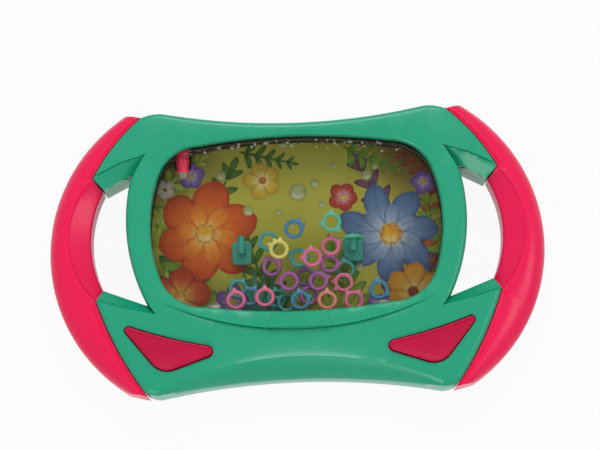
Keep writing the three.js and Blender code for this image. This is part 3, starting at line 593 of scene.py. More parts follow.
@dataclass
class Casing:
    """The green front and rear mouldings."""

    body: Body
    panel_dip: float = 1.5 * MM
    bottom_edge: float = 13.5 * MM
    bevel_drop: float = 5.4 * MM
    arm_step: float = 0.7 * MM
    groove: float = 0.45 * MM
    groove_share: float = 0.028
    groove_run: float = 0.045
    edge_soft: float = 0.28 * MM
    parting_chamfer: float = 0.25 * MM
    button_gap: float = 0.7 * MM
    plug_hole_radius: float = 4.7 * MM
    sleeve_wall: float = 1.1 * MM
    tab_rise: float = 1.0 * MM
    rivet_at: Spot = (0.083, -0.497)

    def bottom_roll(self, drop: float = 0.0) -> bpy.types.Object:
        """A cutter that rolls the bottom down from its ridge to the edge."""
        body = self.body
        reach = 0.555 * body.half_width

        def place(across: float, along: float) -> tuple[float, float, float]:
            share = 2 * across - 1
            x = reach * share
            ridge = body.arc_height(RIDGE, x)
            edge = body.arc_height(BOTTOM_EDGE, x) - 1 * MM
            # The roll flattens towards both ends. About a third of it is an even slope, the rest a round.
            fall = (body.face - self.bottom_edge) * (1 - 0.78 * share**4)
            curve = 1 - math.sqrt(max(1 - along**2.1, 0)) if along < 1 else 1.0
            height = body.face - fall * (0.35 * along + 0.65 * curve) - drop
            return (x * 1.004, edge + (ridge - edge) * (1 - along), height)

        return sheet_block("roll_cutter", 60, 14, place, 20 * MM)

    def panel_dish(self) -> bpy.types.Object:
        """A cutter that steps the panel down from the window's surround and lets it rise to the ridge."""
        body = self.body
        reach = 0.54 * body.half_width
        rows = 10

        def place(across: float, along: float) -> tuple[float, float, float]:
            share = 2 * across - 1
            x = reach * share
            step = body.arc_height(SURROUND, x)
            ridge = body.arc_height(RIDGE, x)
            dip = self.panel_dip * (1 - share**4) + 0.02 * MM
            # The last row lies close to the one before it, and makes the groove at the step's foot.
            run = along if along == 1 else along * (1 - self.groove_share) / (1 - 1 / rows)
            depth = dip * math.sin(math.pi / 2 * run) ** 0.8 if run > 0 else 0
            if along == 1:
                depth += self.groove * (1 - share**4)
            return (x, ridge + (step - ridge) * run, body.face - depth - 0.02 * MM)

        return sheet_block("dish_cutter", 60, rows, place, 6 * MM)

    def arm_bevels(self, drop: float = 0.0) -> list[bpy.types.Object]:
        """Cutters that slope the arms down to the finger openings."""
        body = self.body
        # Each arm's fold and its edge at the opening, at three places along it.
        arms = [
            [((0.83, 0.54), (0.785, 0.43)), ((0.704, 0.645), (0.671, 0.56)), ((0.6, 0.7), (0.635, 0.6))],
            [
                ((0.825, -0.305), (0.795, -0.22)),
                ((0.713, -0.364), (0.677, -0.3)),
                ((0.57, -0.42), (0.6, -0.345)),
            ],
        ]
        # The cutter reaches this many times as far as the edge, and so runs on past it.
        over = 1.4
        rows = 6
        cutters = []
        for arm in arms:
            for side in Side:

                def place(
                    across: float, along: float, arm: list = arm, side: Side = side
                ) -> tuple[float, float, float]:
                    k = min(int(across * 2), 1)
                    share = across * 2 - k
                    crease = Vector(body.at(*arm[k][0])).lerp(Vector(body.at(*arm[k + 1][0])), share)
                    edge = Vector(body.at(*arm[k][1])).lerp(Vector(body.at(*arm[k + 1][1])), share)
                    # The second row lies close to the first, which is lower and makes the groove at the fold.
                    second = 0 < along < 1.5 / rows
                    run = self.groove_run if second else max(along - 1 / rows, 0) * (rows / (rows - 1))
                    spot = crease.lerp(edge, run * over)
                    fall = self.arm_step + over * run * (self.bevel_drop - self.arm_step)
                    if along == 0:
                        fall += self.groove
                    return (side.value * spot.x, spot.y, body.face - fall - drop)

                cutters.append(sheet_block("arm_cutter", 16, rows, place, 12 * MM))
        return cutters

    def build_front(self, finish: bpy.types.Material, button_shape: Outline) -> bpy.types.Object:
        """Model the front moulding: shell, window, surround, dished panel, arms and button holes."""
        body = self.body
        outline = body.casing_outline()
        front = stacked("front_moulding", [
            (grown(outline, -self.parting_chamfer), body.parting),
            (outline, body.parting + self.parting_chamfer),
            *body.rounded_rows(outline, body.face, body.edge_round, 1),
        ])
        carve(front, self.bottom_roll(), self.panel_dish(), *self.arm_bevels())
        hollow = prism("inside", grown(outline, -body.wall), body.parting - 1 * MM, body.face - body.wall)
        carve(hollow, self.bottom_roll(body.wall), *self.arm_bevels(body.wall))
        carve(front, hollow)
        carve(front, self.tab(), operation="UNION")
        window = body.window_outline()
        rim = stacked("window_cutter", [
            (window, body.parting - 1 * MM),
            (window, body.face - body.wall - 0.2 * MM),
            (grown(window, 0.55 * MM), body.face - 0.5 * MM),
            (grown(window, 1.3 * MM), body.face + 0.1 * MM),
            (grown(window, 1.4 * MM), body.face + 3 * MM),
        ])
        carve(front, rim)
        for shape in (button_shape, mirrored(button_shape)):
            hole = grown(shape, self.button_gap)
            carve(front, prism("button_hole", hole, body.parting, body.face + 3 * MM))
        carve(front, self.plug_hole())
        soften(front, self.edge_soft)
        return dress(front, finish, "casing", "front_housing")

    def tab(self) -> bpy.types.Object:
        """The small plate under the window with its two rivet heads."""
        body = self.body
        corners = [(-0.125, -0.535), (0.125, -0.535), (0.107, -0.44), (-0.107, -0.44)]
        outline = [body.at(*corner) for corner in corners]
        plate = prism("tab", outline, body.face - body.wall / 2, body.face + self.tab_rise)
        # A rivet head's radius and its height over the face, in millimetres.
        head_rows = [(1.1, -1), (1.1, 1.1), (0.9, 1.3), (0.4, 1.38)]
        rows = [(radius * MM, body.face + height * MM) for radius, height in head_rows]
        across, up = self.rivet_at
        for side in Side:
            carve(plate, post("rivet", body.at(side.value * across, up), rows, 20), operation="UNION")
        return plate

    def plug_hole(self) -> bpy.types.Object:
        """The round hole in the top edge that the filler plug goes into."""
        low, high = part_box("fill_plug")
        x, _, z = box_middle(low, high)
        rows = [(self.plug_hole_radius, -4 * MM), (self.plug_hole_radius, 6 * MM)]
        return turned_post("plug_hole", (x, high[1], z), rows, 32)

    def build_rear(self, finish: bpy.types.Material) -> bpy.types.Object:
        """Model the rear moulding: a tray with rounded edges and wells for the screws."""
        body = self.body
        outline = body.casing_outline()
        rear = stacked("rear_moulding", [
            *reversed(body.rounded_rows(outline, 0, body.edge_round, -1)),
            (outline, body.parting - self.parting_chamfer),
            (grown(outline, -self.parting_chamfer), body.parting - 0.01 * MM),
        ])
        carve(rear, prism("tray", grown(outline, -body.wall), body.wall, body.parting + 1 * MM))
        for number in range(1, 7):
            low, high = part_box(f"casing_screw_{number}")
            spot = box_middle(low, high)[:2]
            radius = (high[0] - low[0]) / 2 + body.gap
            outside = radius + self.sleeve_wall
            carve(rear, post("sleeve", spot, [(outside, 1 * MM), (outside, 5 * MM)]), operation="UNION")
            carve(rear, post("well", spot, [(radius, -1 * MM), (radius, high[2])], 32))
        soften(rear, self.edge_soft)
        # Large faces win at their corners, so the flat back shades flat beside its wells.
        apply_modifier(rear, "WEIGHTED_NORMAL", keep_sharp=True, weight=80)
        return dress(rear, finish, "casing", "rear_housing")


@dataclass
class Grips:
    """The pink palm grips: each a front and a rear moulding, lofted along the grip."""

    body: Body
    stations: int = 90
    joint_end: float = 0.222
    rim_start: float = 0.278
    seam_groove: float = 0.22 * MM

    def inside(self, share: float) -> tuple[Vector, Vector, float]:
        """The grip's inner line, between its top tip at 0 and its bottom tip at 1.

        Args:
            share: how far along the grip.

        Returns:
            The inner edge, the crease's place, and how much the finger opening shapes the section, 0 to 1.
        """
        mirror = share > 0.5
        run = 1 - share if mirror else share
        joint = LOWER_JOINT if mirror else UPPER_JOINT[::-1]
        rim_run = (share - self.rim_start) / (1 - 2 * self.rim_start)
        rim = self.on(GRIP_RIM, rim_run)
        crease = self.on(GRIP_FOLD, rim_run)
        opening = smooth_step((run - self.joint_end) / (self.rim_start - self.joint_end))
        edge = self.on(joint, run / self.joint_end).lerp(rim, opening)
        return edge, crease, opening

    def on(self, arc_shares: tuple[Spot, Spot, Spot], along: float) -> Vector:
        """A point on an arc of the body, at a share of its length."""
        steps = 400
        points = [*self.body.arc_at(*arc_shares, steps), self.body.at(*arc_shares[2])]
        return Vector(points[round(min(max(along, 0.0), 1.0) * steps)])

    def section(self, share: float, low: bool) -> list[Vector]:
        """A cross-section of one half, from the parting up its inner wall and over to its outer wall.

        Args:
            share: how far along the grip, from 0 at the top tip to 1 at the bottom tip.
            low: whether it is the rear half.

        Returns:
            The section's points, on the right-hand grip.
        """
        body = self.body
        outer = self.on(GRIP_OUTSIDE, share)
        edge, rim_fold, opening = self.inside(share)
        inner = edge + (outer - edge).normalized() * body.gap * (1 - opening)
        fold = inner.lerp(outer, 0.15).lerp(rim_fold, opening)
        # Heights from the parting, in millimetres, as are those of the rows.
        crease, rim_rise, tip, outside = (10.6, 6.0, 11.0, 3.0) if low else (11.0, 6.0, 11.7, 2.5)
        rise = tip + (rim_rise - tip) * opening
        inwards = (outer - inner).normalized() * self.seam_groove
        rows: list[tuple[Vector, float]] = [(inner + inwards, 0.03), (inner, 0.25), (inner, rise * 0.5)]
        for turn in (0.0, 0.35, 0.7, 1.0):
            corner = inner.lerp(fold, 0.12 * turn * turn)
            rows.append((corner, rise - 0.45 * (1 - turn) ** 1.6 + (crease - rise) * 0.12 * turn * turn))
        foot = crease - 0.35
        rows.append((inner.lerp(fold, 0.55), rise + (foot - rise) * 0.57))
        rows.append((inner.lerp(fold, 0.9), rise + (foot - rise) * 0.9))
        rows.append((inner.lerp(fold, 0.98), foot))
        for step in range(13):
            turn = step / 12 * math.pi / 2
            drop = (crease - outside) * (1 - math.cos(turn))
            soft = 0.06 * math.exp(-(step / 0.9) ** 2)
            rows.append((fold.lerp(outer, math.sin(turn)), crease - drop - soft))
        rows += [(outer, outside * 0.5), (outer, 0.25), (outer - inwards, 0.03)]
        side = -1 if low else 1
        return [Vector((spot.x, spot.y, body.parting + side * height * MM)) for spot, height in rows]

    def build(self, side: Side, low: bool, finish: bpy.types.Material) -> bpy.types.Object:
        """Model one half of a grip and dress it."""
        half = "rear" if low else "front"
        node = f"{side.name.lower()}_grip_{half}"
        loops = []
        for i in range(self.stations + 1):
            loop = self.section(i / self.stations, low)
            loops.append([Vector((side.value * v.x, v.y, v.z)) for v in loop])
        grip = lofted(f"{node}_moulding", loops)
        if low:
            self.drill(grip, side)
        apply_modifier(
            grip, "BEVEL", width=0.5 * MM, segments=2, limit_method="ANGLE", angle_limit=math.radians(50)
        )
        smooth(grip, 30)
        return dress(grip, finish, "casing", node)

    def drill(self, grip: bpy.types.Object, side: Side) -> None:
        """Sink the wells of the two rear screws into a grip."""
        for number in (1, 2):
            low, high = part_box(f"{side.name.lower()}_grip_screw_{number}")
            spot = box_middle(low, high)[:2]
            radius = (high[0] - low[0]) / 2 + self.body.gap
            carve(grip, post("well", spot, [(radius, -1 * MM), (radius, low[2] + 1.8 * MM)], 32))


def smooth_step(share: float) -> float:
    """An even rise from 0 to 1, held at both ends."""
    held = min(max(share, 0.0), 1.0)
    return held * held * (3 - 2 * held)


@dataclass
class Screws:
    """The rear screws: pan heads with a cross recess, over plain shanks."""

    head: float = 2.7 * MM
    head_height: float = 1.8 * MM
    shank: float = 1.3 * MM
    recess_reach: float = 1.6 * MM
    recess_half: float = 0.36 * MM
    recess_depth: float = 0.9 * MM

    def build(self, node: str, finish: bpy.types.Material) -> bpy.types.Object:
        """Model one screw in the place of its node and dress it."""
        low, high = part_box(node)
        spot = box_middle(low, high)[:2]
        head, bottom = self.head, low[2]
        rows = [
            (head * 0.55, bottom),
            (head * 0.82, bottom + 0.1 * MM),
            (head * 0.96, bottom + 0.4 * MM),
            (head, bottom + 0.8 * MM),
            (head, bottom + self.head_height),
            (self.shank, bottom + self.head_height + 0.01 * MM),
            (self.shank, high[2] - self.shank),
            (0.2 * MM, high[2]),
        ]
        piece = post(f"{node}_dressed", spot, rows, 32)
        corners = ((1, 1), (-1, 1), (-1, -1), (1, -1))
        reach, half = self.recess_reach, self.recess_half
        for along, across in ((reach, half), (half, reach)):
            bar = [(x * along + spot[0], y * across + spot[1]) for x, y in corners]
            carve(piece, prism("recess", bar, bottom - 1 * MM, bottom + self.recess_depth))
        smooth(piece, 35)
        return dress(piece, finish, "casing", node)


@dataclass
class Pegs:
    """The two pegs in the water: a rounded bracket, a stem and an upright pin."""

    width: float = 9 * MM
    height: float = 11 * MM
    thickness: float = 1.2 * MM
    stem: float = 1.7 * MM
    pin: float = 1.8 * MM

    def build(self, node: str, finish: bpy.types.Material) -> bpy.types.Object:
        """Model one peg in the place of its node and dress it."""
        low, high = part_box(node)
        across, up, base = self.width / 2, self.height / 2, low[2]
        x, y = (low[0] + high[0]) / 2, low[1] + up
        corner = across * 0.5
        corners = ((across, up), (-across, up), (-across, -up), (across, -up))
        tips = [(spot, corner) for spot in corners]
        outline = [(px + x, py + y) for rounding in rounded(tips, 8) for px, py in rounding]
        bracket = stacked(f"{node}_moulding", [
            (outline, base),
            (outline, base + self.thickness * 0.7),
            (grown(outline, -0.18 * MM), base + self.thickness * 0.93),
            (grown(outline, -0.5 * MM), base + self.thickness),
        ])
        pin_height = high[2] - self.pin
        stem_rows = [
            (self.stem * 1.35, base + self.thickness * 0.5),
            (self.stem * 1.1, base + self.thickness * 1.3),
            (self.stem, base + self.thickness * 2),
            (self.stem, pin_height),
        ]
        carve(bracket, post("stem", (x, y), stem_rows, 32), operation="UNION")
        pin, reach = self.pin, high[1] - y
        pin_rows = [
            (pin * 0.8, -pin), (pin, -pin * 0.75), (pin, reach - 1.6 * MM),
            (pin * 0.85, reach - 0.7 * MM), (pin * 0.5, reach - 0.1 * MM), (pin * 0.2, reach),
        ]
        carve(bracket, turned_post("pin", (x, y, pin_height), pin_rows, 32), operation="UNION")
        smooth(bracket, 40)
        return dress(bracket, finish, "casing", node)


@dataclass
class Pumps:
    """The soft bellows under the buttons."""

    crest: float = 9 * MM
    waist: float = 6.8 * MM
    skin: float = 1.0 * MM
    folds: int = 2
    rows: int = 32
    stroke: float = 3.5 * MM

    def outside(self, low: float, high: float) -> list[tuple[float, float]]:
        """Rows of radius and height down the folds, from the base to the shoulder."""
        outline = []
        for i in range(self.rows + 1):
            swing = (self.crest - self.waist) * math.cos(2 * math.pi * self.folds * i / self.rows)
            radius = (self.crest + self.waist + swing) / 2
            outline.append((radius, low + (high - self.skin - low) * i / self.rows))
        return outline

    def build(self, side: Side, finish: bpy.types.Material) -> bpy.types.Object:
        """Model one side's bellows and dress it."""
        name = side.name.lower()
        low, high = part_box(f"{name}_bellows")
        spot = box_middle(low, high)[:2]
        outside = self.outside(low[2], high[2])
        shoulder = [(self.waist + 0.7 * MM, high[2] - 0.2 * MM), (self.waist, high[2])]
        piece = post(f"{name}_bellows_moulding", spot, outside + shoulder, 48)
        last_waist = self.rows - self.rows // (2 * self.folds)
        hollow = [(radius - self.skin, height) for radius, height in outside[: last_waist + 1]]
        hollow[0] = (hollow[0][0], low[2] - 1 * MM)
        hollow.append((self.waist - self.skin, high[2] - self.skin))
        carve(piece, post("bellows_air", spot, hollow, 48))
        smooth(piece, 45)
        dress(piece, finish, "casing", f"{name}_bellows")
        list(spot)
        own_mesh(piece)
        return piece


@dataclass
class FillPlug:
    """The soft plug in the filler neck, with two sealing beads and a gripping head."""

    radius: float = 3.1 * MM
    head: float = 4.4 * MM
    tip: float = 2.4 * MM

    def build(self, finish: bpy.types.Material, tip_finish: bpy.types.Material) -> bpy.types.Object:
        """Model the plug and the grey tip that hangs in the water, and dress both."""
        low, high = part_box("fill_plug")
        x, _, z = box_middle(low, high)
        length = high[1] - low[1]
        stem = self.radius
        rows = [
            (stem * 0.55, 0.0), (stem * 0.78, 0.35 * MM), (stem * 0.88, 1.4 * MM), (stem * 0.9, 5 * MM),
            (stem, 5.6 * MM), (stem, 6.4 * MM), (stem * 0.93, 7 * MM), (stem * 0.93, 9 * MM),
            (stem, 9.6 * MM), (stem, 10.4 * MM), (stem * 0.94, 11 * MM), (stem * 0.94, length - 2.3 * MM),
            (stem, length - 2.01 * MM), (self.head * 0.93, length - 2 * MM), (self.head, length - 1.7 * MM),
            (self.head, length - 0.6 * MM), (self.head * 0.95, length - 0.2 * MM), (self.head * 0.85, length),
            (self.head * 0.4, length - 0.15 * MM),
        ]
        plug = turned_post("fill_plug_moulding", (x, low[1], z), rows, 40)
        smooth(plug, 45)
        tip_rows = [
            (stem * 0.4, -self.tip), (stem * 0.7, 0.3 * MM - self.tip), (stem * 0.8, 1.0 * MM - self.tip),
            (stem * 0.8, 0.6 * MM), (stem * 0.5, 0.7 * MM),
        ]
        tip = turned_post("fill_plug_tip", (x, low[1], z), tip_rows, 40)
        smooth(tip, 45)
        dress(tip, tip_finish, "fill_plug")
        return dress(plug, finish, "fill_plug", "fill_plug")


class Tint(Enum):
    """The colours of the rings, as sRGB hex codes."""

    MINT = "58BE9C"
    BLUE = "3A80A6"
    TEAL = "3C9A92"
    YELLOW = "DCD06C"
    PINK = "DE7092"
    PURPLE = "A85A9E"
    VIOLET = "7C4F9A"
    CORAL = "DE8874"


@dataclass(frozen=True)
class RingPlace:
    """Where a ring drifts, in ring diameters from the middle of the window's floor, and how it looks."""

    at: Spot
    layer: int
    ears: tuple[int, ...]
    tint: Tint


RING_PLACES = (
    RingPlace((1.74, 4.46), 3, (90, 190, 310), Tint.MINT),
    RingPlace((-0.15, 4.17), 3, (20, 60), Tint.BLUE),
    RingPlace((-1.45, 3.66), 2, (200,), Tint.TEAL),
    RingPlace((-0.92, 3.16), 3, (80, 115, 150), Tint.YELLOW),
    RingPlace((1.66, 3.31), 2, (30, 85), Tint.PINK),
    RingPlace((0.07, 2.84), 1, (150, 240), Tint.TEAL),
    RingPlace((0.72, 2.7), 3, (95, 180), Tint.PINK),
    RingPlace((1.58, 2.49), 1, (0,), Tint.PURPLE),
    RingPlace((-1.32, 2.42), 1, (40, 120), Tint.PURPLE),
    RingPlace((2.37, 2.24), 0, (100,), Tint.TEAL),
    RingPlace((-0.47, 1.6), 2, (190,), Tint.PURPLE),
    RingPlace((0.99, 1.55), 2, (20, 100), Tint.PURPLE),
    RingPlace((0.35, 1.9), 0, (90,), Tint.VIOLET),
    RingPlace((2.26, 1.51), 1, (170, 220), Tint.PINK),
    RingPlace((-3.03, 1.34), 1, (60, 120), Tint.TEAL),
    RingPlace((-3.13, 0.67), 3, (100,), Tint.PINK),
    RingPlace((-2.43, 0.89), 2, (110, 60), Tint.BLUE),
    RingPlace((-1.69, 0.77), 3, (90,), Tint.PINK),
    RingPlace((-1.13, 0.85), 0, (60, 100), Tint.TEAL),
    RingPlace((0.06, 0.56), 3, (95, 20), Tint.BLUE),
    RingPlace((-0.62, 0.58), 1, (150, 30), Tint.TEAL),
    RingPlace((0.5, 0.9), 1, (70,), Tint.PURPLE),
    RingPlace((1.39, 0.52), 3, (90,), Tint.CORAL),
    RingPlace((2.73, 0.53), 2, (60, 130), Tint.PINK),
    RingPlace((3.98, 0.96), 3, (330, 100), Tint.BLUE),
)


@dataclass
class Rings:
    """The rings: round hoops with small pointed ears, floating in the tank or caught on a peg."""

    body: Body
    radius: float = 4.5 * MM
    hole: float = 2.75 * MM
    thickness: float = 1.7 * MM
    ear_reach: float = 1.7 * MM
    tilt: float = math.radians(4)

    def hoop(self, name: str, ears: Sequence[int]) -> bpy.types.Object:
        """Model a ring flat round the origin: a torus whose ears are extruded from its rim."""
        deselect()
        tube = (self.radius - self.hole) / 2
        segments = 48
        bpy.ops.mesh.primitive_torus_add(
            major_segments=segments, minor_segments=14, major_radius=self.radius - tube, minor_radius=tube
        )
        ring = name_piece(name)
        bpy.ops.object.mode_set(mode="EDIT")
        for degrees in ears:
            angle = math.radians(degrees)
            out = Vector((math.cos(angle), math.sin(angle), 0))
            mesh = bmesh.from_edit_mesh(ring.data)
            bpy.ops.mesh.select_all(action="DESELECT")
            for face in mesh.faces:
                spot = face.calc_center_median()
                near = Vector((spot.x, spot.y, 0)).angle(out) < math.radians(15)
                face.select_set(near and spot.to_2d().length > self.radius - tube * 0.62)
            bmesh.update_edit_mesh(ring.data)
            # Each step goes out by a share of the ear's reach and narrows by a factor.
            for reach, size in ((0.4, 0.72), (0.35, 0.6), (0.25, 0.45)):
                step = out * self.ear_reach * reach
                bpy.ops.mesh.extrude_region_move(TRANSFORM_OT_translate={"value": tuple(step)})
                chosen = [v.co.copy() for v in bmesh.from_edit_mesh(ring.data).verts if v.select]
                middle = sum(chosen, Vector()) / len(chosen)
                bpy.ops.transform.resize(value=(size, size, size), center_override=tuple(middle))
        bpy.ops.object.mode_set(mode="OBJECT")
        for vertex in ring.data.vertices:
            flat = vertex.co.to_2d().length
            most = self.radius + self.ear_reach
            if flat > most:
                vertex.co.xy = vertex.co.to_2d() * (most / flat)
            vertex.co.z *= self.thickness / 2 / tube
        smooth(ring, 50)
        return ring

    def build(self, finishes: dict[Tint, bpy.types.Material]) -> None:
        """Model every ring at its place and dress it."""
        dice = random.Random(7)
        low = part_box("tank_seal")[0][2]
        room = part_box("tank_front")[1][2] - 1.5 * MM - low - 2 * self.body.gap
        floor = WINDOW_FLOOR[1] * self.body.half_height
        for number, place in enumerate(RING_PLACES, 1):
            node = f"ring_{number:02d}"
            ring = self.hoop(f"{node}_moulding", place.ears)
            x = place.at[0] * 2 * self.radius
            y = floor + place.at[1] * 2 * self.radius
            height = low + self.body.gap + room / 4 * (place.layer + 0.5)
            tilts = [dice.uniform(-1, 1) * self.tilt for _ in range(2)]
            lean = Euler((*tilts, 0)).to_matrix().to_4x4()
            ring.data.transform(Matrix.Translation((x, y, height)) @ lean)
            dress(ring, finishes[place.tint], node, node)
        ring = self.hoop("ring_26_moulding", (0,))
        near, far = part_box("ring_26")
        spot = (near[0] + self.radius, (near[1] + far[1]) / 2, near[2] + self.radius)
        ring.data.transform(Matrix.Translation(spot) @ Matrix.Rotation(math.pi / 2, 4, "X"))
        dress(ring, finishes[Tint.MINT], "ring_26", "ring_26")


@dataclass
class Tank:
    """The clear tank: its front with the pane and filler neck, and small air bubbles under the pane."""

    body: Body
    wall: float = 1.7 * MM
    side: float = 2.6 * MM
    flange: float = 3.6 * MM
    pane: float = 1.5 * MM
    neck_radius: float = 4 * MM
    neck_length: float = 20 * MM
    bore_radius: float = 3.2 * MM

    def build_front(self, finish: bpy.types.Material) -> bpy.types.Object:
        """Model the clear front as one stack, hollowed, with the neck joined on."""
        body = self.body
        low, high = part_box("tank_front")
        window = body.window_outline()
        shoulder = body.face - body.wall - body.gap
        outer = grown(window, self.side)
        front = stacked("tank_front_moulding", [
            (grown(window, self.flange), low[2]),
            (grown(window, self.flange), low[2] + 1.9 * MM),
            (outer, low[2] + 1.91 * MM),
            (outer, shoulder),
            (grown(window, -body.gap), shoulder + 0.01 * MM),
            (grown(window, -body.gap), high[2] - 0.25 * MM),
            (grown(window, -body.gap - 0.25 * MM), high[2]),
        ])
        inner = grown(window, self.side - self.wall)
        carve(front, stacked("water", [
            (inner, low[2] - 1 * MM),
            (inner, high[2] - self.pane - 0.6 * MM),
            (grown(inner, -0.6 * MM), high[2] - self.pane),
        ]))
        plug_low, plug_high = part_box("fill_plug")
        x, _, z = box_middle(plug_low, plug_high)
        foot = (x, high[1] - self.neck_length, z)
        radius, length = self.neck_radius, self.neck_length
        rows = [(radius * 0.72, 0), (radius * 0.9, 0.7 * MM), (radius, 2 * MM), (radius, length)]
        carve(front, turned_post("neck", foot, rows), operation="UNION")
        bore = [(self.bore_radius, -1 * MM), (self.bore_radius, length + 1 * MM)]
        carve(front, turned_post("bore", foot, bore))
        smooth(front, 32)
        return dress(front, finish, "casing", "tank_front")

    def build_bubbles(self, finish: bpy.types.Material) -> bpy.types.Object:
        """Scatter small air bubbles under the pane, most of them along its upper edge."""
        dice = random.Random(21)
        pane_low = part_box("tank_front")[1][2] - self.pane
        body = self.body
        bubbles = []
        for number in range(80):
            x = dice.uniform(-0.9, 0.9) * 0.5 * body.half_width
            edge = body.arc_height(WINDOW_TOP, x)
            radius = dice.choice((0.25, 0.3, 0.35, 0.5, 0.7)) * MM
            y = edge - 1.2 * MM - abs(dice.gauss(0, 1.6)) * MM
            deselect()
            bpy.ops.mesh.primitive_ico_sphere_add(subdivisions=2, radius=radius)
            bubble = name_piece(f"bubble_{number}")
            bubble.data.transform(
                Matrix.Translation((x, y, pane_low - radius * 0.62)) @ Matrix.Diagonal((1, 1, 0.6, 1))
            )
            bubbles.append(bubble)
        cluster = joined("air_bubbles", bubbles)
        smooth(cluster, 60)
        return dress(cluster, finish, "casing")


@dataclass(frozen=True)
class Stroke:
    """One printed leaf, petal, blade or dot: from its root to its tip, in millimetres on the card."""

    root: Spot
    tip: Spot
    width: float
    codes: Codes
    belly: float = 0.6
    bend: float = 0.0

    @staticmethod
    def dot(spot: Spot, radius: float, codes: Codes) -> Stroke:
        """A round dot, as a stroke as wide as it is long."""
        return Stroke((spot[0], spot[1] - radius), (spot[0], spot[1] + radius), 2 * radius, codes, 0.5)

    def place(self, along: float, across: float) -> Spot:
        """A point of the stroke, from its share of the length and from -1 to 1 across it."""
        root, tip = Vector(self.root), Vector(self.tip)
        run = tip - root
        side = Vector((-run.y, run.x)).normalized()
        swell = math.sin(math.pi * along ** (math.log(0.5) / math.log(self.belly)))
        if self.belly != 0.5:
            round_end = max(swell, 0) ** 0.62
        else:
            round_end = math.sqrt(max(1 - (2 * along - 1) ** 2, 0))
        spot = root + run * along
        bow = self.bend * run.length * math.sin(math.pi * along)
        spot += side * (bow + across * self.width / 2 * round_end)
        return tuple(spot)

    def colour(self, along: float, across: float) -> Vector:
        """The stroke's colour at a point: from the root's to the middle's, darker or lighter at its rim."""
        root, middle, rim = (Vector(linear(code)) for code in self.codes)
        base = root.lerp(middle, smooth_step(along * 1.6))
        vein = 0.12 * math.cos(across * 9) * (1 - abs(across))
        edge = max(abs(across), along) if self.belly != 0.5 else max(abs(across), abs(2 * along - 1))
        return base.lerp(rim, min(max(edge**3.5 + vein, 0), 1))


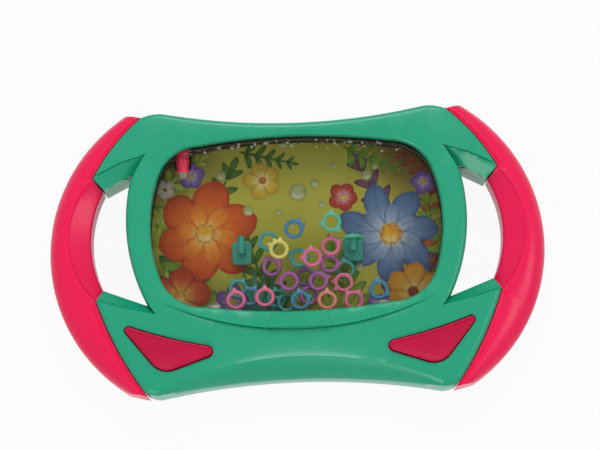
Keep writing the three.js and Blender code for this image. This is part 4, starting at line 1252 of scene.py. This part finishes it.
@dataclass
class BackdropPrint:
    """The printed card behind the water: tropical foliage, blossoms and bubbles on olive green."""

    body: Body
    card_reach: float = 2.6 * MM
    print_reach: float = 2.3 * MM

    def draw(self) -> dict[str, list[Stroke]]:
        """Lay the design out, from its ground up: each layer's name and strokes."""
        dark, leaf = ("35581F", "588C2C", "26481A"), ("5A8E2A", "94B838", "3E6C22")
        lime, teal = ("9CB83A", "D0DC5A", "6E9028"), ("2C7A66", "58B49A", "1E5448")
        plum, rust = ("5C3450", "8C5478", "3C2036"), ("84401E", "C4642E", "5A2C16")
        violet, cream = ("F4E8F8", "9C7CC8", "5E4490"), ("FFFDF0", "ECE6D2", "B4A888")
        gold = ("FFE89A", "F2C24A", "B07A28")
        far_ferns = (
            ((-62, -24), (-30, 40), 8, 17, dark), ((64, -26), (30, 42), 8, 17, plum),
            ((-10, -31), (-22, 6), 6, 14, dark), ((26, -31), (16, 4), 6, 13, leaf),
        )
        near_ferns = (
            ((-46, -30), (-62, 34), 7, 14, leaf), ((46, -30), (63, 30), 7, 15, rust),
            ((2, -30), (6, -4), 6, 10, lime), ((-26, 50), (-2, 44), 5, 8, dark),
            ((22, 51), (46, 40), 5, 9, leaf), ((-66, 30), (-44, 46), 5, 11, lime),
            ((66, 34), (50, 47), 4, 9, rust), ((-67, 4), (-58, 26), 5, 9, lime),
            ((67, -4), (59, 24), 5, 9, leaf),
        )
        tufts = (
            ((-20, -28), 9, 24, teal), ((18, -29), 9, 20, lime), ((-60, -20), 7, 18, lime),
            ((58, -22), 7, 18, leaf),
        )
        # Each small blossom's place, petal length and width, colours and turn, then its heart's radius
        # and colours.
        small = (
            ((-48, 39), 6.5, 5.5, violet, 15, 1.3, gold),
            ((-60, 33), 5, 4, cream, 40, 1.0, ("E0803A", "C8622A", "8E4420")),
            ((59, 33), 6, 5, violet, 30, 1.2, gold),
            ((-37, -25), 6, 5, cream, 5, 1.2, gold),
            ((36, -24), 6.5, 5.5, violet, 50, 1.3, gold),
            ((-15, 36), 9, 7.5, ("FFF0A8", "E8C644", "B8922A"), 30, 1.7, ("C8622A", "E0803A", "8E4420")),
            ((22, 27), 7, 6, ("F8D0C8", "D4483E", "8E2622"), 60, 1.4, gold),
            ((-30, -20), 8, 6.5, ("E8DCF2", "8A6CB4", "5A4286"), 10, 1.5, gold),
        )
        bubbles = (
            ((1, 30), 4.0), ((9, 34), 2.0), ((12, 24), 1.6), ((-8, 21), 1.3), ((33, 37), 2.4),
            ((37, 41), 1.5), ((-34, 39), 2.2), ((-2, 14), 1.2), ((28, -6), 2.0), ((-22, 22), 2.4),
            ((18, 42), 1.4),
        )
        small_blossoms = []
        for spot, length, width, codes, turn, radius, heart_codes in small:
            small_blossoms += self.blossom(spot, 5, length, width, codes, turn)
            small_blossoms += self.heart(spot, radius, heart_codes)
        return {
            "far_foliage": [stroke for fern in far_ferns for stroke in self.fern(*fern)],
            "near_foliage": [stroke for fern in near_ferns for stroke in self.fern(*fern)],
            "grasses": [stroke for tuft in tufts for stroke in self.tuft(*tuft)],
            "amber_blossom": [
                *self.blossom((-42, 12), 6, 24, 17, ("FFC23A", "EE6A22", "B8341C"), 15),
                *self.blossom((-42, 12), 6, 15, 9, ("FFE27A", "F8942E", "D85A20"), 45),
                *self.heart((-42, 12), 4.6, ("FFF0A0", "F6B93C", "B86A1E")),
            ],
            "red_blossom": [
                *self.blossom((-54, -17), 5, 15, 12, ("F8D45A", "E2562A", "9C2A1E"), 80),
                *self.heart((-54, -17), 2.8, ("FFEFA8", "F0B440", "A86020")),
            ],
            "blue_blossom": [
                *self.blossom((43, 9), 7, 24, 12, ("D8E2EA", "6D8FB8", "3E5C8C"), 5),
                *self.blossom((43, 9), 7, 15, 7, ("F6F0D8", "9CB4CE", "5C7CA6"), 30),
                *self.heart((43, 9), 5, ("FFF2A4", "F2B02E", "A8641C")),
            ],
            "yellow_blossom": [
                *self.blossom((52, -18), 6, 14, 10, ("FFE68A", "F0B232", "C67A1E"), 20),
                *self.heart((52, -18), 2.6, ("7A3A24", "9C4A2C", "5A2A1C")),
            ],
            "small_blossoms": small_blossoms,
            "printed_bubbles": [Stroke.dot(*bubble, ("EEF2C8", "B8C27E", "8E9C50")) for bubble in bubbles],
        }

    def fern(self, root: Spot, tip: Spot, pairs: int, length: float, codes: Codes) -> list[Stroke]:
        """A stem with pairs of leaves that shorten towards its tip."""
        start, end = Vector(root), Vector(tip)
        run = (end - start).normalized()
        strokes = [Stroke(root, tip, 1.6, codes, 0.5)]
        for k in range(pairs):
            spot = start.lerp(end, (k + 0.6) / pairs)
            size = length * (1 - 0.55 * k / pairs)
            for turn in (-1, 1):
                way = run.copy()
                way.rotate(Matrix.Rotation(turn * math.radians(58 - 3 * k), 2))
                end_spot = tuple(spot + way * size)
                strokes.append(Stroke(tuple(spot), end_spot, size * 0.36, codes, 0.55, -0.08 * turn))
        strokes.append(Stroke(tuple(end - run), tuple(end + run * length * 0.5), length * 0.2, codes))
        return strokes

    def tuft(self, root: Spot, blades: int, length: float, codes: Codes) -> list[Stroke]:
        """A fan of grass blades."""
        strokes = []
        for k in range(blades):
            share = 2 * k / (blades - 1) - 1
            way = Vector((0, 1))
            way.rotate(Matrix.Rotation(-math.radians(52) * share, 2))
            size = length * (1 - 0.3 * abs(share))
            strokes.append(Stroke(root, tuple(Vector(root) + way * size), 3.2, codes, 0.35, -0.12 * share))
        return strokes

    def blossom(
        self, spot: Spot, petals: int, length: float, width: float, codes: Codes, turn: float
    ) -> list[Stroke]:
        """Petals round a spot."""
        strokes = []
        for k in range(petals):
            way = Vector((1, 0))
            way.rotate(Matrix.Rotation(math.radians(turn + 360 / petals * k), 2))
            size = length * (1 + 0.07 * math.sin(5 * k + turn))
            strokes.append(Stroke(spot, tuple(Vector(spot) + way * size), width, codes, 0.62, 0.05))
        return strokes

    def heart(self, spot: Spot, radius: float, codes: Codes) -> list[Stroke]:
        """The middle of a blossom: a disc with a ring of stamens."""
        strokes = [Stroke.dot(spot, radius, codes)]
        for k in range(9):
            angle = math.radians(40 * k)
            place = (spot[0] + radius * 0.95 * math.cos(angle), spot[1] + radius * 0.95 * math.sin(angle))
            strokes.append(Stroke.dot(place, radius * 0.17, ("FFF3B8", "E0A030", "8E5018")))
        return strokes

    def held(self, spot: Spot, limit: Outline) -> Spot:
        """A spot, drawn in to the edge of the card where it would pass it."""
        middle = Vector((0, 10 * MM))
        if inside(spot, limit):
            return spot
        near, far = 0.0, 1.0
        for _ in range(18):
            share = (near + far) / 2
            if inside(tuple(middle.lerp(Vector(spot), share)), limit):
                near = share
            else:
                far = share
        return tuple(middle.lerp(Vector(spot), near))

    def build(self, card: bpy.types.Material, ink: bpy.types.Material) -> None:
        """Model the card and its layers of print."""
        low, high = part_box("backdrop_card")
        window = self.body.window_outline()
        depth = high[2] - low[2]
        edge = grown(window, self.card_reach)
        sheet = stacked("backdrop_sheet", [(edge, low[2]), (edge, low[2] + depth * 0.4)])
        dress(sheet, card, "casing", "backdrop_card")
        layers = self.draw()
        limit = grown(window, self.print_reach)
        total = sum(len(layer) for layer in layers.values())
        lift = depth * 0.55 / total
        height = low[2] + depth * 0.42
        for name, layer in layers.items():
            sheets = []
            for stroke in layer:
                height += lift
                sheets.append(self.paint(stroke, height, limit))
            dress(joined(f"print_{name}", sheets), ink, "casing")

    def paint(self, stroke: Stroke, height: float, limit: Outline) -> bpy.types.Object:
        """Model one stroke as a thin sheet with its colours on its corners."""
        deselect()
        bpy.ops.mesh.primitive_grid_add(x_subdivisions=14, y_subdivisions=8, size=2)
        piece = name_piece("stroke")
        paint = piece.data.color_attributes.new("paint", "FLOAT_COLOR", "POINT")
        for number, vertex in enumerate(piece.data.vertices):
            along, across = (vertex.co.x + 1) / 2, vertex.co.y
            paint.data[number].color = (*stroke.colour(along, across)[:3], 1)
            x, y = stroke.place(along, across)
            vertex.co = (*self.held((x * MM, y * MM), limit), height)
        return piece


def inside(spot: Spot, outline: Outline) -> bool:
    """Whether a spot lies inside an outline."""
    x, y = spot
    within = False
    for k, (bx, by) in enumerate(outline):
        ax, ay = outline[k - 1]
        if (ay > y) != (by > y) and x < (bx - ax) * (y - ay) / (by - ay) + ax:
            within = not within
    return within


# Finishes


@dataclass(frozen=True)
class MouldedPlastic:
    """Injection-moulded plastic: an even colour, a soft gloss and the faint waves of its mould."""

    name: str
    code: str
    cloudy_code: str
    roughness: float
    ior: float = 1.5
    opacity: float = 1.0
    cloud_size: float = 28.0
    wear_size: float = 9.0
    wear_depth: float = 0.06
    peel_size: float = 1.6
    peel_depth: float = 0.02
    specular: float = 0.35

    def make(self) -> bpy.types.Material:
        """Build the material: clouded colour, worn gloss and a fine orange peel."""
        material, tree, shader, coordinates = new_material(self.name)
        # Colour drifts a little over centimetres, as masterbatch does in a cheap moulding.
        clouds = add_node(tree, "ShaderNodeTexNoise", {
            "Vector": coordinates, "Scale": 1 / (self.cloud_size * MM), "Detail": 2.0,
        })
        colour = add_node(tree, "ShaderNodeMix", {
            0: clouds.outputs["Fac"], 6: linear(self.code), 7: linear(self.cloudy_code),
        }, data_type="RGBA")
        tree.links.new(colour.outputs[2], shader.inputs["Base Color"])
        # Handling polishes some places and dulls others, a few millimetres across.
        wear = add_node(tree, "ShaderNodeTexNoise", {
            "Vector": coordinates, "Scale": 1 / (self.wear_size * MM), "Detail": 4.0,
        })
        gloss = add_node(tree, "ShaderNodeMapRange", {
            "Value": wear.outputs["Fac"],
            "To Min": self.roughness - self.wear_depth,
            "To Max": self.roughness + self.wear_depth,
        })
        tree.links.new(gloss.outputs["Result"], shader.inputs["Roughness"])
        peel = add_node(tree, "ShaderNodeTexNoise", {
            "Vector": coordinates, "Scale": 1 / (self.peel_size * MM), "Detail": 3.0,
        })
        bump = add_node(tree, "ShaderNodeBump", {
            "Height": peel.outputs["Fac"], "Strength": 0.25, "Distance": self.peel_depth * MM,
        })
        tree.links.new(bump.outputs["Normal"], shader.inputs["Normal"])
        shader.inputs["IOR"].default_value = self.ior
        shader.inputs["Alpha"].default_value = self.opacity
        shader.inputs["Specular IOR Level"].default_value = self.specular
        return material


@dataclass(frozen=True)
class ZincPlatedSteel:
    """Screws of zinc-plated steel: pale grey metal, turned, with a fine brushed grain."""

    name: str = "zinc_plated_steel"

    def make(self) -> bpy.types.Material:
        """Build the material."""
        material, tree, shader, coordinates = new_material(self.name)
        shader.inputs["Metallic"].default_value = 1.0
        grain = add_node(tree, "ShaderNodeTexNoise", {
            "Vector": coordinates, "Scale": 1 / (0.4 * MM), "Detail": 3.0,
        })
        tone = add_node(tree, "ShaderNodeMix", {
            0: grain.outputs["Fac"], 6: linear("A9ACAE"), 7: linear("CDD0D0"),
        }, data_type="RGBA")
        tree.links.new(tone.outputs[2], shader.inputs["Base Color"])
        gloss = add_node(tree, "ShaderNodeMapRange", {
            "Value": grain.outputs["Fac"], "To Min": 0.25, "To Max": 0.42,
        })
        tree.links.new(gloss.outputs["Result"], shader.inputs["Roughness"])
        return material


@dataclass(frozen=True)
class OffsetPrint:
    """Offset print on card under water: painted colours, softened by a coarse screen."""

    name: str
    roughness: float = 0.6
    specular: float = 0.04

    def make(self) -> bpy.types.Material:
        """Build the ink of the motifs, coloured by the paint on their corners."""
        material, tree, shader, coordinates = new_material(self.name)
        paint = add_node(tree, "ShaderNodeVertexColor", layer_name="paint")
        # Brush streaks of about 2 mm, as in a painted picture.
        streaks = add_node(tree, "ShaderNodeTexNoise", {
            "Vector": coordinates, "Scale": 1 / (2.2 * MM), "Detail": 4.0, "Distortion": 1.2,
        })
        shade = add_node(tree, "ShaderNodeMapRange", {
            "Value": streaks.outputs["Fac"], "From Min": 0.3, "From Max": 0.75, "To Min": 0.0, "To Max": 0.3,
        })
        colour = add_node(tree, "ShaderNodeMix", {
            0: shade.outputs["Result"], 6: paint.outputs["Color"], 7: linear("4A4420"),
        }, data_type="RGBA")
        tree.links.new(colour.outputs[2], shader.inputs["Base Color"])
        shader.inputs["Roughness"].default_value = self.roughness
        shader.inputs["Specular IOR Level"].default_value = self.specular
        return material

    def make_ground(self) -> bpy.types.Material:
        """Build the card's ground: olive green with darker plum and brown corners."""
        material, tree, shader, coordinates = new_material(f"{self.name}_ground")
        drift = add_node(tree, "ShaderNodeTexNoise", {
            "Vector": coordinates, "Scale": 1 / (34 * MM), "Detail": 3.0,
        })
        tone = add_node(tree, "ShaderNodeMix", {
            0: drift.outputs["Fac"], 6: linear("A6A62E"), 7: linear("CEC856"),
        }, data_type="RGBA").outputs[2]
        # Each patch's middle on the card, its reach and its colour.
        level = 0.0058
        patches = (
            ((-0.062, 0.048), 0.022, "4E2E38"), ((0.058, 0.05), 0.026, "7A4430"),
            ((0.064, -0.014), 0.03, "7E4426"), ((-0.064, -0.022), 0.026, "48502A"),
            ((0.0, -0.032), 0.02, "6E5428"),
        )
        for spot, reach, code in patches:
            away = add_node(
                tree, "ShaderNodeVectorMath", {0: coordinates, 1: (*spot, level)}, operation="DISTANCE"
            )
            ragged = add_node(tree, "ShaderNodeMath", {
                0: drift.outputs["Fac"], 1: reach * 0.9, 2: away.outputs["Value"],
            }, operation="MULTIPLY_ADD")
            share = add_node(tree, "ShaderNodeMapRange", {
                "Value": ragged.outputs["Value"], "From Min": reach * 0.7, "From Max": reach * 1.7,
                "To Min": 0.85, "To Max": 0.0,
            })
            tone = add_node(tree, "ShaderNodeMix", {
                0: share.outputs["Result"], 6: tone, 7: linear(code),
            }, data_type="RGBA").outputs[2]
        tree.links.new(tone, shader.inputs["Base Color"])
        shader.inputs["Roughness"].default_value = self.roughness
        shader.inputs["Specular IOR Level"].default_value = self.specular
        return material


def seen_rays(tree: bpy.types.NodeTree) -> bpy.types.NodeSocket:
    """Which rays see the background: the camera's, and those that gloss and clear plastic send on."""
    rays = add_node(tree, "ShaderNodeLightPath")
    seen = rays.outputs["Is Camera Ray"]
    for kind in ("Is Glossy Ray", "Is Transmission Ray"):
        larger = add_node(tree, "ShaderNodeMath", {0: seen, 1: rays.outputs[kind]}, operation="MAXIMUM")
        seen = larger.outputs[0]
    return seen


@dataclass
class Studio:
    """The pale floor, the soft lights and the camera of the photograph."""

    floor_half: float = 3.0
    surround_light: float = 0.4
    floor_glow: float = 0.92
    sensor: float = 36.0

    def build_floor(self) -> None:
        """Lay a pale floor that shows white and keeps a soft shadow."""
        deselect()
        bpy.ops.mesh.primitive_grid_add(x_subdivisions=8, y_subdivisions=8, size=2 * self.floor_half)
        floor = name_piece("studio_floor")
        material, tree, shader, coordinates = new_material("studio_paper")
        grain = add_node(tree, "ShaderNodeTexNoise", {
            "Vector": coordinates, "Scale": 1 / (3 * MM), "Detail": 2.0,
        })
        tone = add_node(tree, "ShaderNodeMix", {
            0: grain.outputs["Fac"], 6: linear("ECECEC"), 7: linear("F2F2F2"),
        }, data_type="RGBA")
        tree.links.new(tone.outputs[2], shader.inputs["Base Color"])
        shader.inputs["Roughness"].default_value = 0.9
        share = add_node(
            tree, "ShaderNodeMath", {0: seen_rays(tree), 1: self.floor_glow}, operation="MULTIPLY"
        )
        glow = add_node(tree, "ShaderNodeEmission", {"Color": (1, 1, 1, 1), "Strength": 1.0})
        mix = add_node(tree, "ShaderNodeMixShader", {
            0: share.outputs[0], 1: shader.outputs[0], 2: glow.outputs[0],
        })
        tree.links.new(mix.outputs[0], tree.nodes["Material Output"].inputs["Surface"])
        floor.data.materials.append(material)

    def build_world(self) -> None:
        """Give an even white surround that lights the object softly."""
        world = bpy.data.worlds.new("studio_surround")
        world.use_nodes = True
        tree = world.node_tree
        strength = add_node(tree, "ShaderNodeMapRange", {
            "Value": seen_rays(tree), "To Min": self.surround_light, "To Max": 1.0,
        })
        tree.links.new(strength.outputs[0], tree.nodes["Background"].inputs["Strength"])
        tree.nodes["Background"].inputs["Color"].default_value = (1, 1, 1, 1)
        bpy.context.scene.world = world

    def build_lights(self) -> None:
        """Hang soft lights behind the top edge, at the lower left and, weakest, at the right."""
        # Each lamp's name, place, width in metres and power in watts.
        lamps = (
            ("top_softbox", (0.05, 0.75, 0.85), 0.5, 4.7),
            ("fill_softbox", (-0.4, -0.85, 0.8), 0.5, 3.6),
            ("right_softbox", (0.95, -0.1, 1.0), 0.45, 2.2),
        )
        for name, place, size, power in lamps:
            deselect()
            bpy.ops.object.light_add(type="AREA", location=place)
            lamp = name_piece(name)
            lamp.data.size = size
            lamp.data.energy = power
            lamp.rotation_euler = (-Vector(place)).to_track_quat("-Z", "Y").to_euler()

    def build_camera(self) -> None:
        """Set the camera above the window, towards the lower edge and rolled as in the photograph."""
        place, aim = Vector((0, -0.140, 0.807)), Vector((0, 0, 0.020))
        roll = math.radians(1.9)
        scale = 0.449 * MM
        width, height = 600, 450
        forward = (aim - place).normalized()
        level, up_right = Vector((1, 0, 0)), Vector((1, 0, 0)).cross(forward)
        right = math.cos(roll) * level - math.sin(roll) * up_right
        up = math.sin(roll) * level + math.cos(roll) * up_right
        focal = (aim - place).length / scale
        # The aim point shows at this pixel, so the camera turns by the rest.
        aim_pixel = (297.5, 251.0)
        aside, below = width / 2 - aim_pixel[0], height / 2 - aim_pixel[1]
        turned = (forward * focal + right * aside - up * below).normalized()
        right = (right - turned * right.dot(turned)).normalized()
        up = right.cross(turned)
        deselect()
        bpy.ops.object.camera_add(location=place)
        camera = name_piece("studio_camera")
        facing = Matrix((right, up, -turned)).transposed().to_4x4()
        camera.matrix_world = Matrix.Translation(place) @ facing
        camera.data.sensor_width = self.sensor
        camera.data.lens = self.sensor * focal / width
        bpy.context.scene.camera = camera

    def build(self) -> None:
        """Set up the whole studio."""
        self.build_floor()
        self.build_world()
        self.build_lights()
        self.build_camera()
        bpy.context.scene.view_settings.view_transform = "Standard"


def main() -> None:
    """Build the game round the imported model."""
    logging.basicConfig(level=logging.INFO, format="%(message)s")
    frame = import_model()
    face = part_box("right_button")[1][2] - Buttons.rise
    rear_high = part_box("rear_housing")[1]
    body = Body(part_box("right_grip_front")[1][0], rear_high[1], rear_high[2], face)

    casing_abs = MouldedPlastic("green_abs", "10A078", "1AA880", 0.27, specular=0.36).make()
    grip_abs = MouldedPlastic("pink_abs", "F4044E", "FE1058", 0.27, specular=0.3).make()
    button_abs = MouldedPlastic("crimson_abs", "C4043E", "CE0A46", 0.26, specular=0.22).make()
    clear = MouldedPlastic(
        "clear_polystyrene", "3C3E34", "44463C", 0.08, ior=1.59, opacity=0.05, peel_depth=0.004, specular=0.5
    ).make()
    peg_plastic = MouldedPlastic(
        "tinted_polystyrene", "2C9A84", "34A68E", 0.22, ior=1.59, opacity=0.82
    ).make()
    plug_pvc = MouldedPlastic("plug_soft_pvc", "FF1E50", "FF3460", 0.4).make()
    tip_pvc = MouldedPlastic("tip_soft_pvc", "8E8C80", "A3A092", 0.3, opacity=0.8).make()
    bubble = MouldedPlastic("air_bubble", "DDE2C8", "F0F2E0", 0.1, opacity=0.25).make()
    steel = ZincPlatedSteel().make()
    print_ink = OffsetPrint("offset_print")
    ring_finishes = {}
    for tint in Tint:
        name, code = f"ring_polythene_{tint.name.lower()}", tint.value
        ring_finishes[tint] = MouldedPlastic(name, code, code, 0.34, peel_size=0.8).make()

    buttons = Buttons(body)
    housing = Casing(body)
    housing.build_front(casing_abs, buttons.outline())
    housing.build_rear(casing_abs)
    grips = Grips(body)
    for side in Side:
        buttons.build(side, button_abs)
        for low in (False, True):
            grips.build(side, low, grip_abs)
    screws = Screws()
    for node in frame["nodes"]:
        if "screw" in node:
            screws.build(node, steel)
    pegs = Pegs()
    for side in Side:
        pegs.build(f"{side.name.lower()}_peg", peg_plastic)
    FillPlug().build(plug_pvc, tip_pvc)
    Rings(body).build(ring_finishes)
    tank = Tank(body)
    tank.build_front(clear)
    tank.build_bubbles(bubble)
    BackdropPrint(body).build(print_ink.make_ground(), print_ink.make())

    # The seal is a real part, but its dark colour is painted shade: it stands in for the shadow line round the
    # window's edge.
    seal_rubber_painted_shade = MouldedPlastic("seal_rubber_painted_shade", "504A34", "5C563E", 0.6).make()
    pump_pvc = MouldedPlastic("pump_soft_pvc", "E6E0D0", "EFEADD", 0.5).make()
    pumps = Pumps()
    for side in Side:
        pumps.build(side, pump_pvc)
    kept = {
        "tank_seal": seal_rubber_painted_shade,
        "tank_back": clear,
        "left_jet_tube": pump_pvc,
        "right_jet_tube": pump_pvc,
    }
    for node, finish in kept.items():
        for material_slot in frame["nodes"][node].material_slots:
            material_slot.material = finish
    Studio().build()


if __name__ == "__main__":
    main()
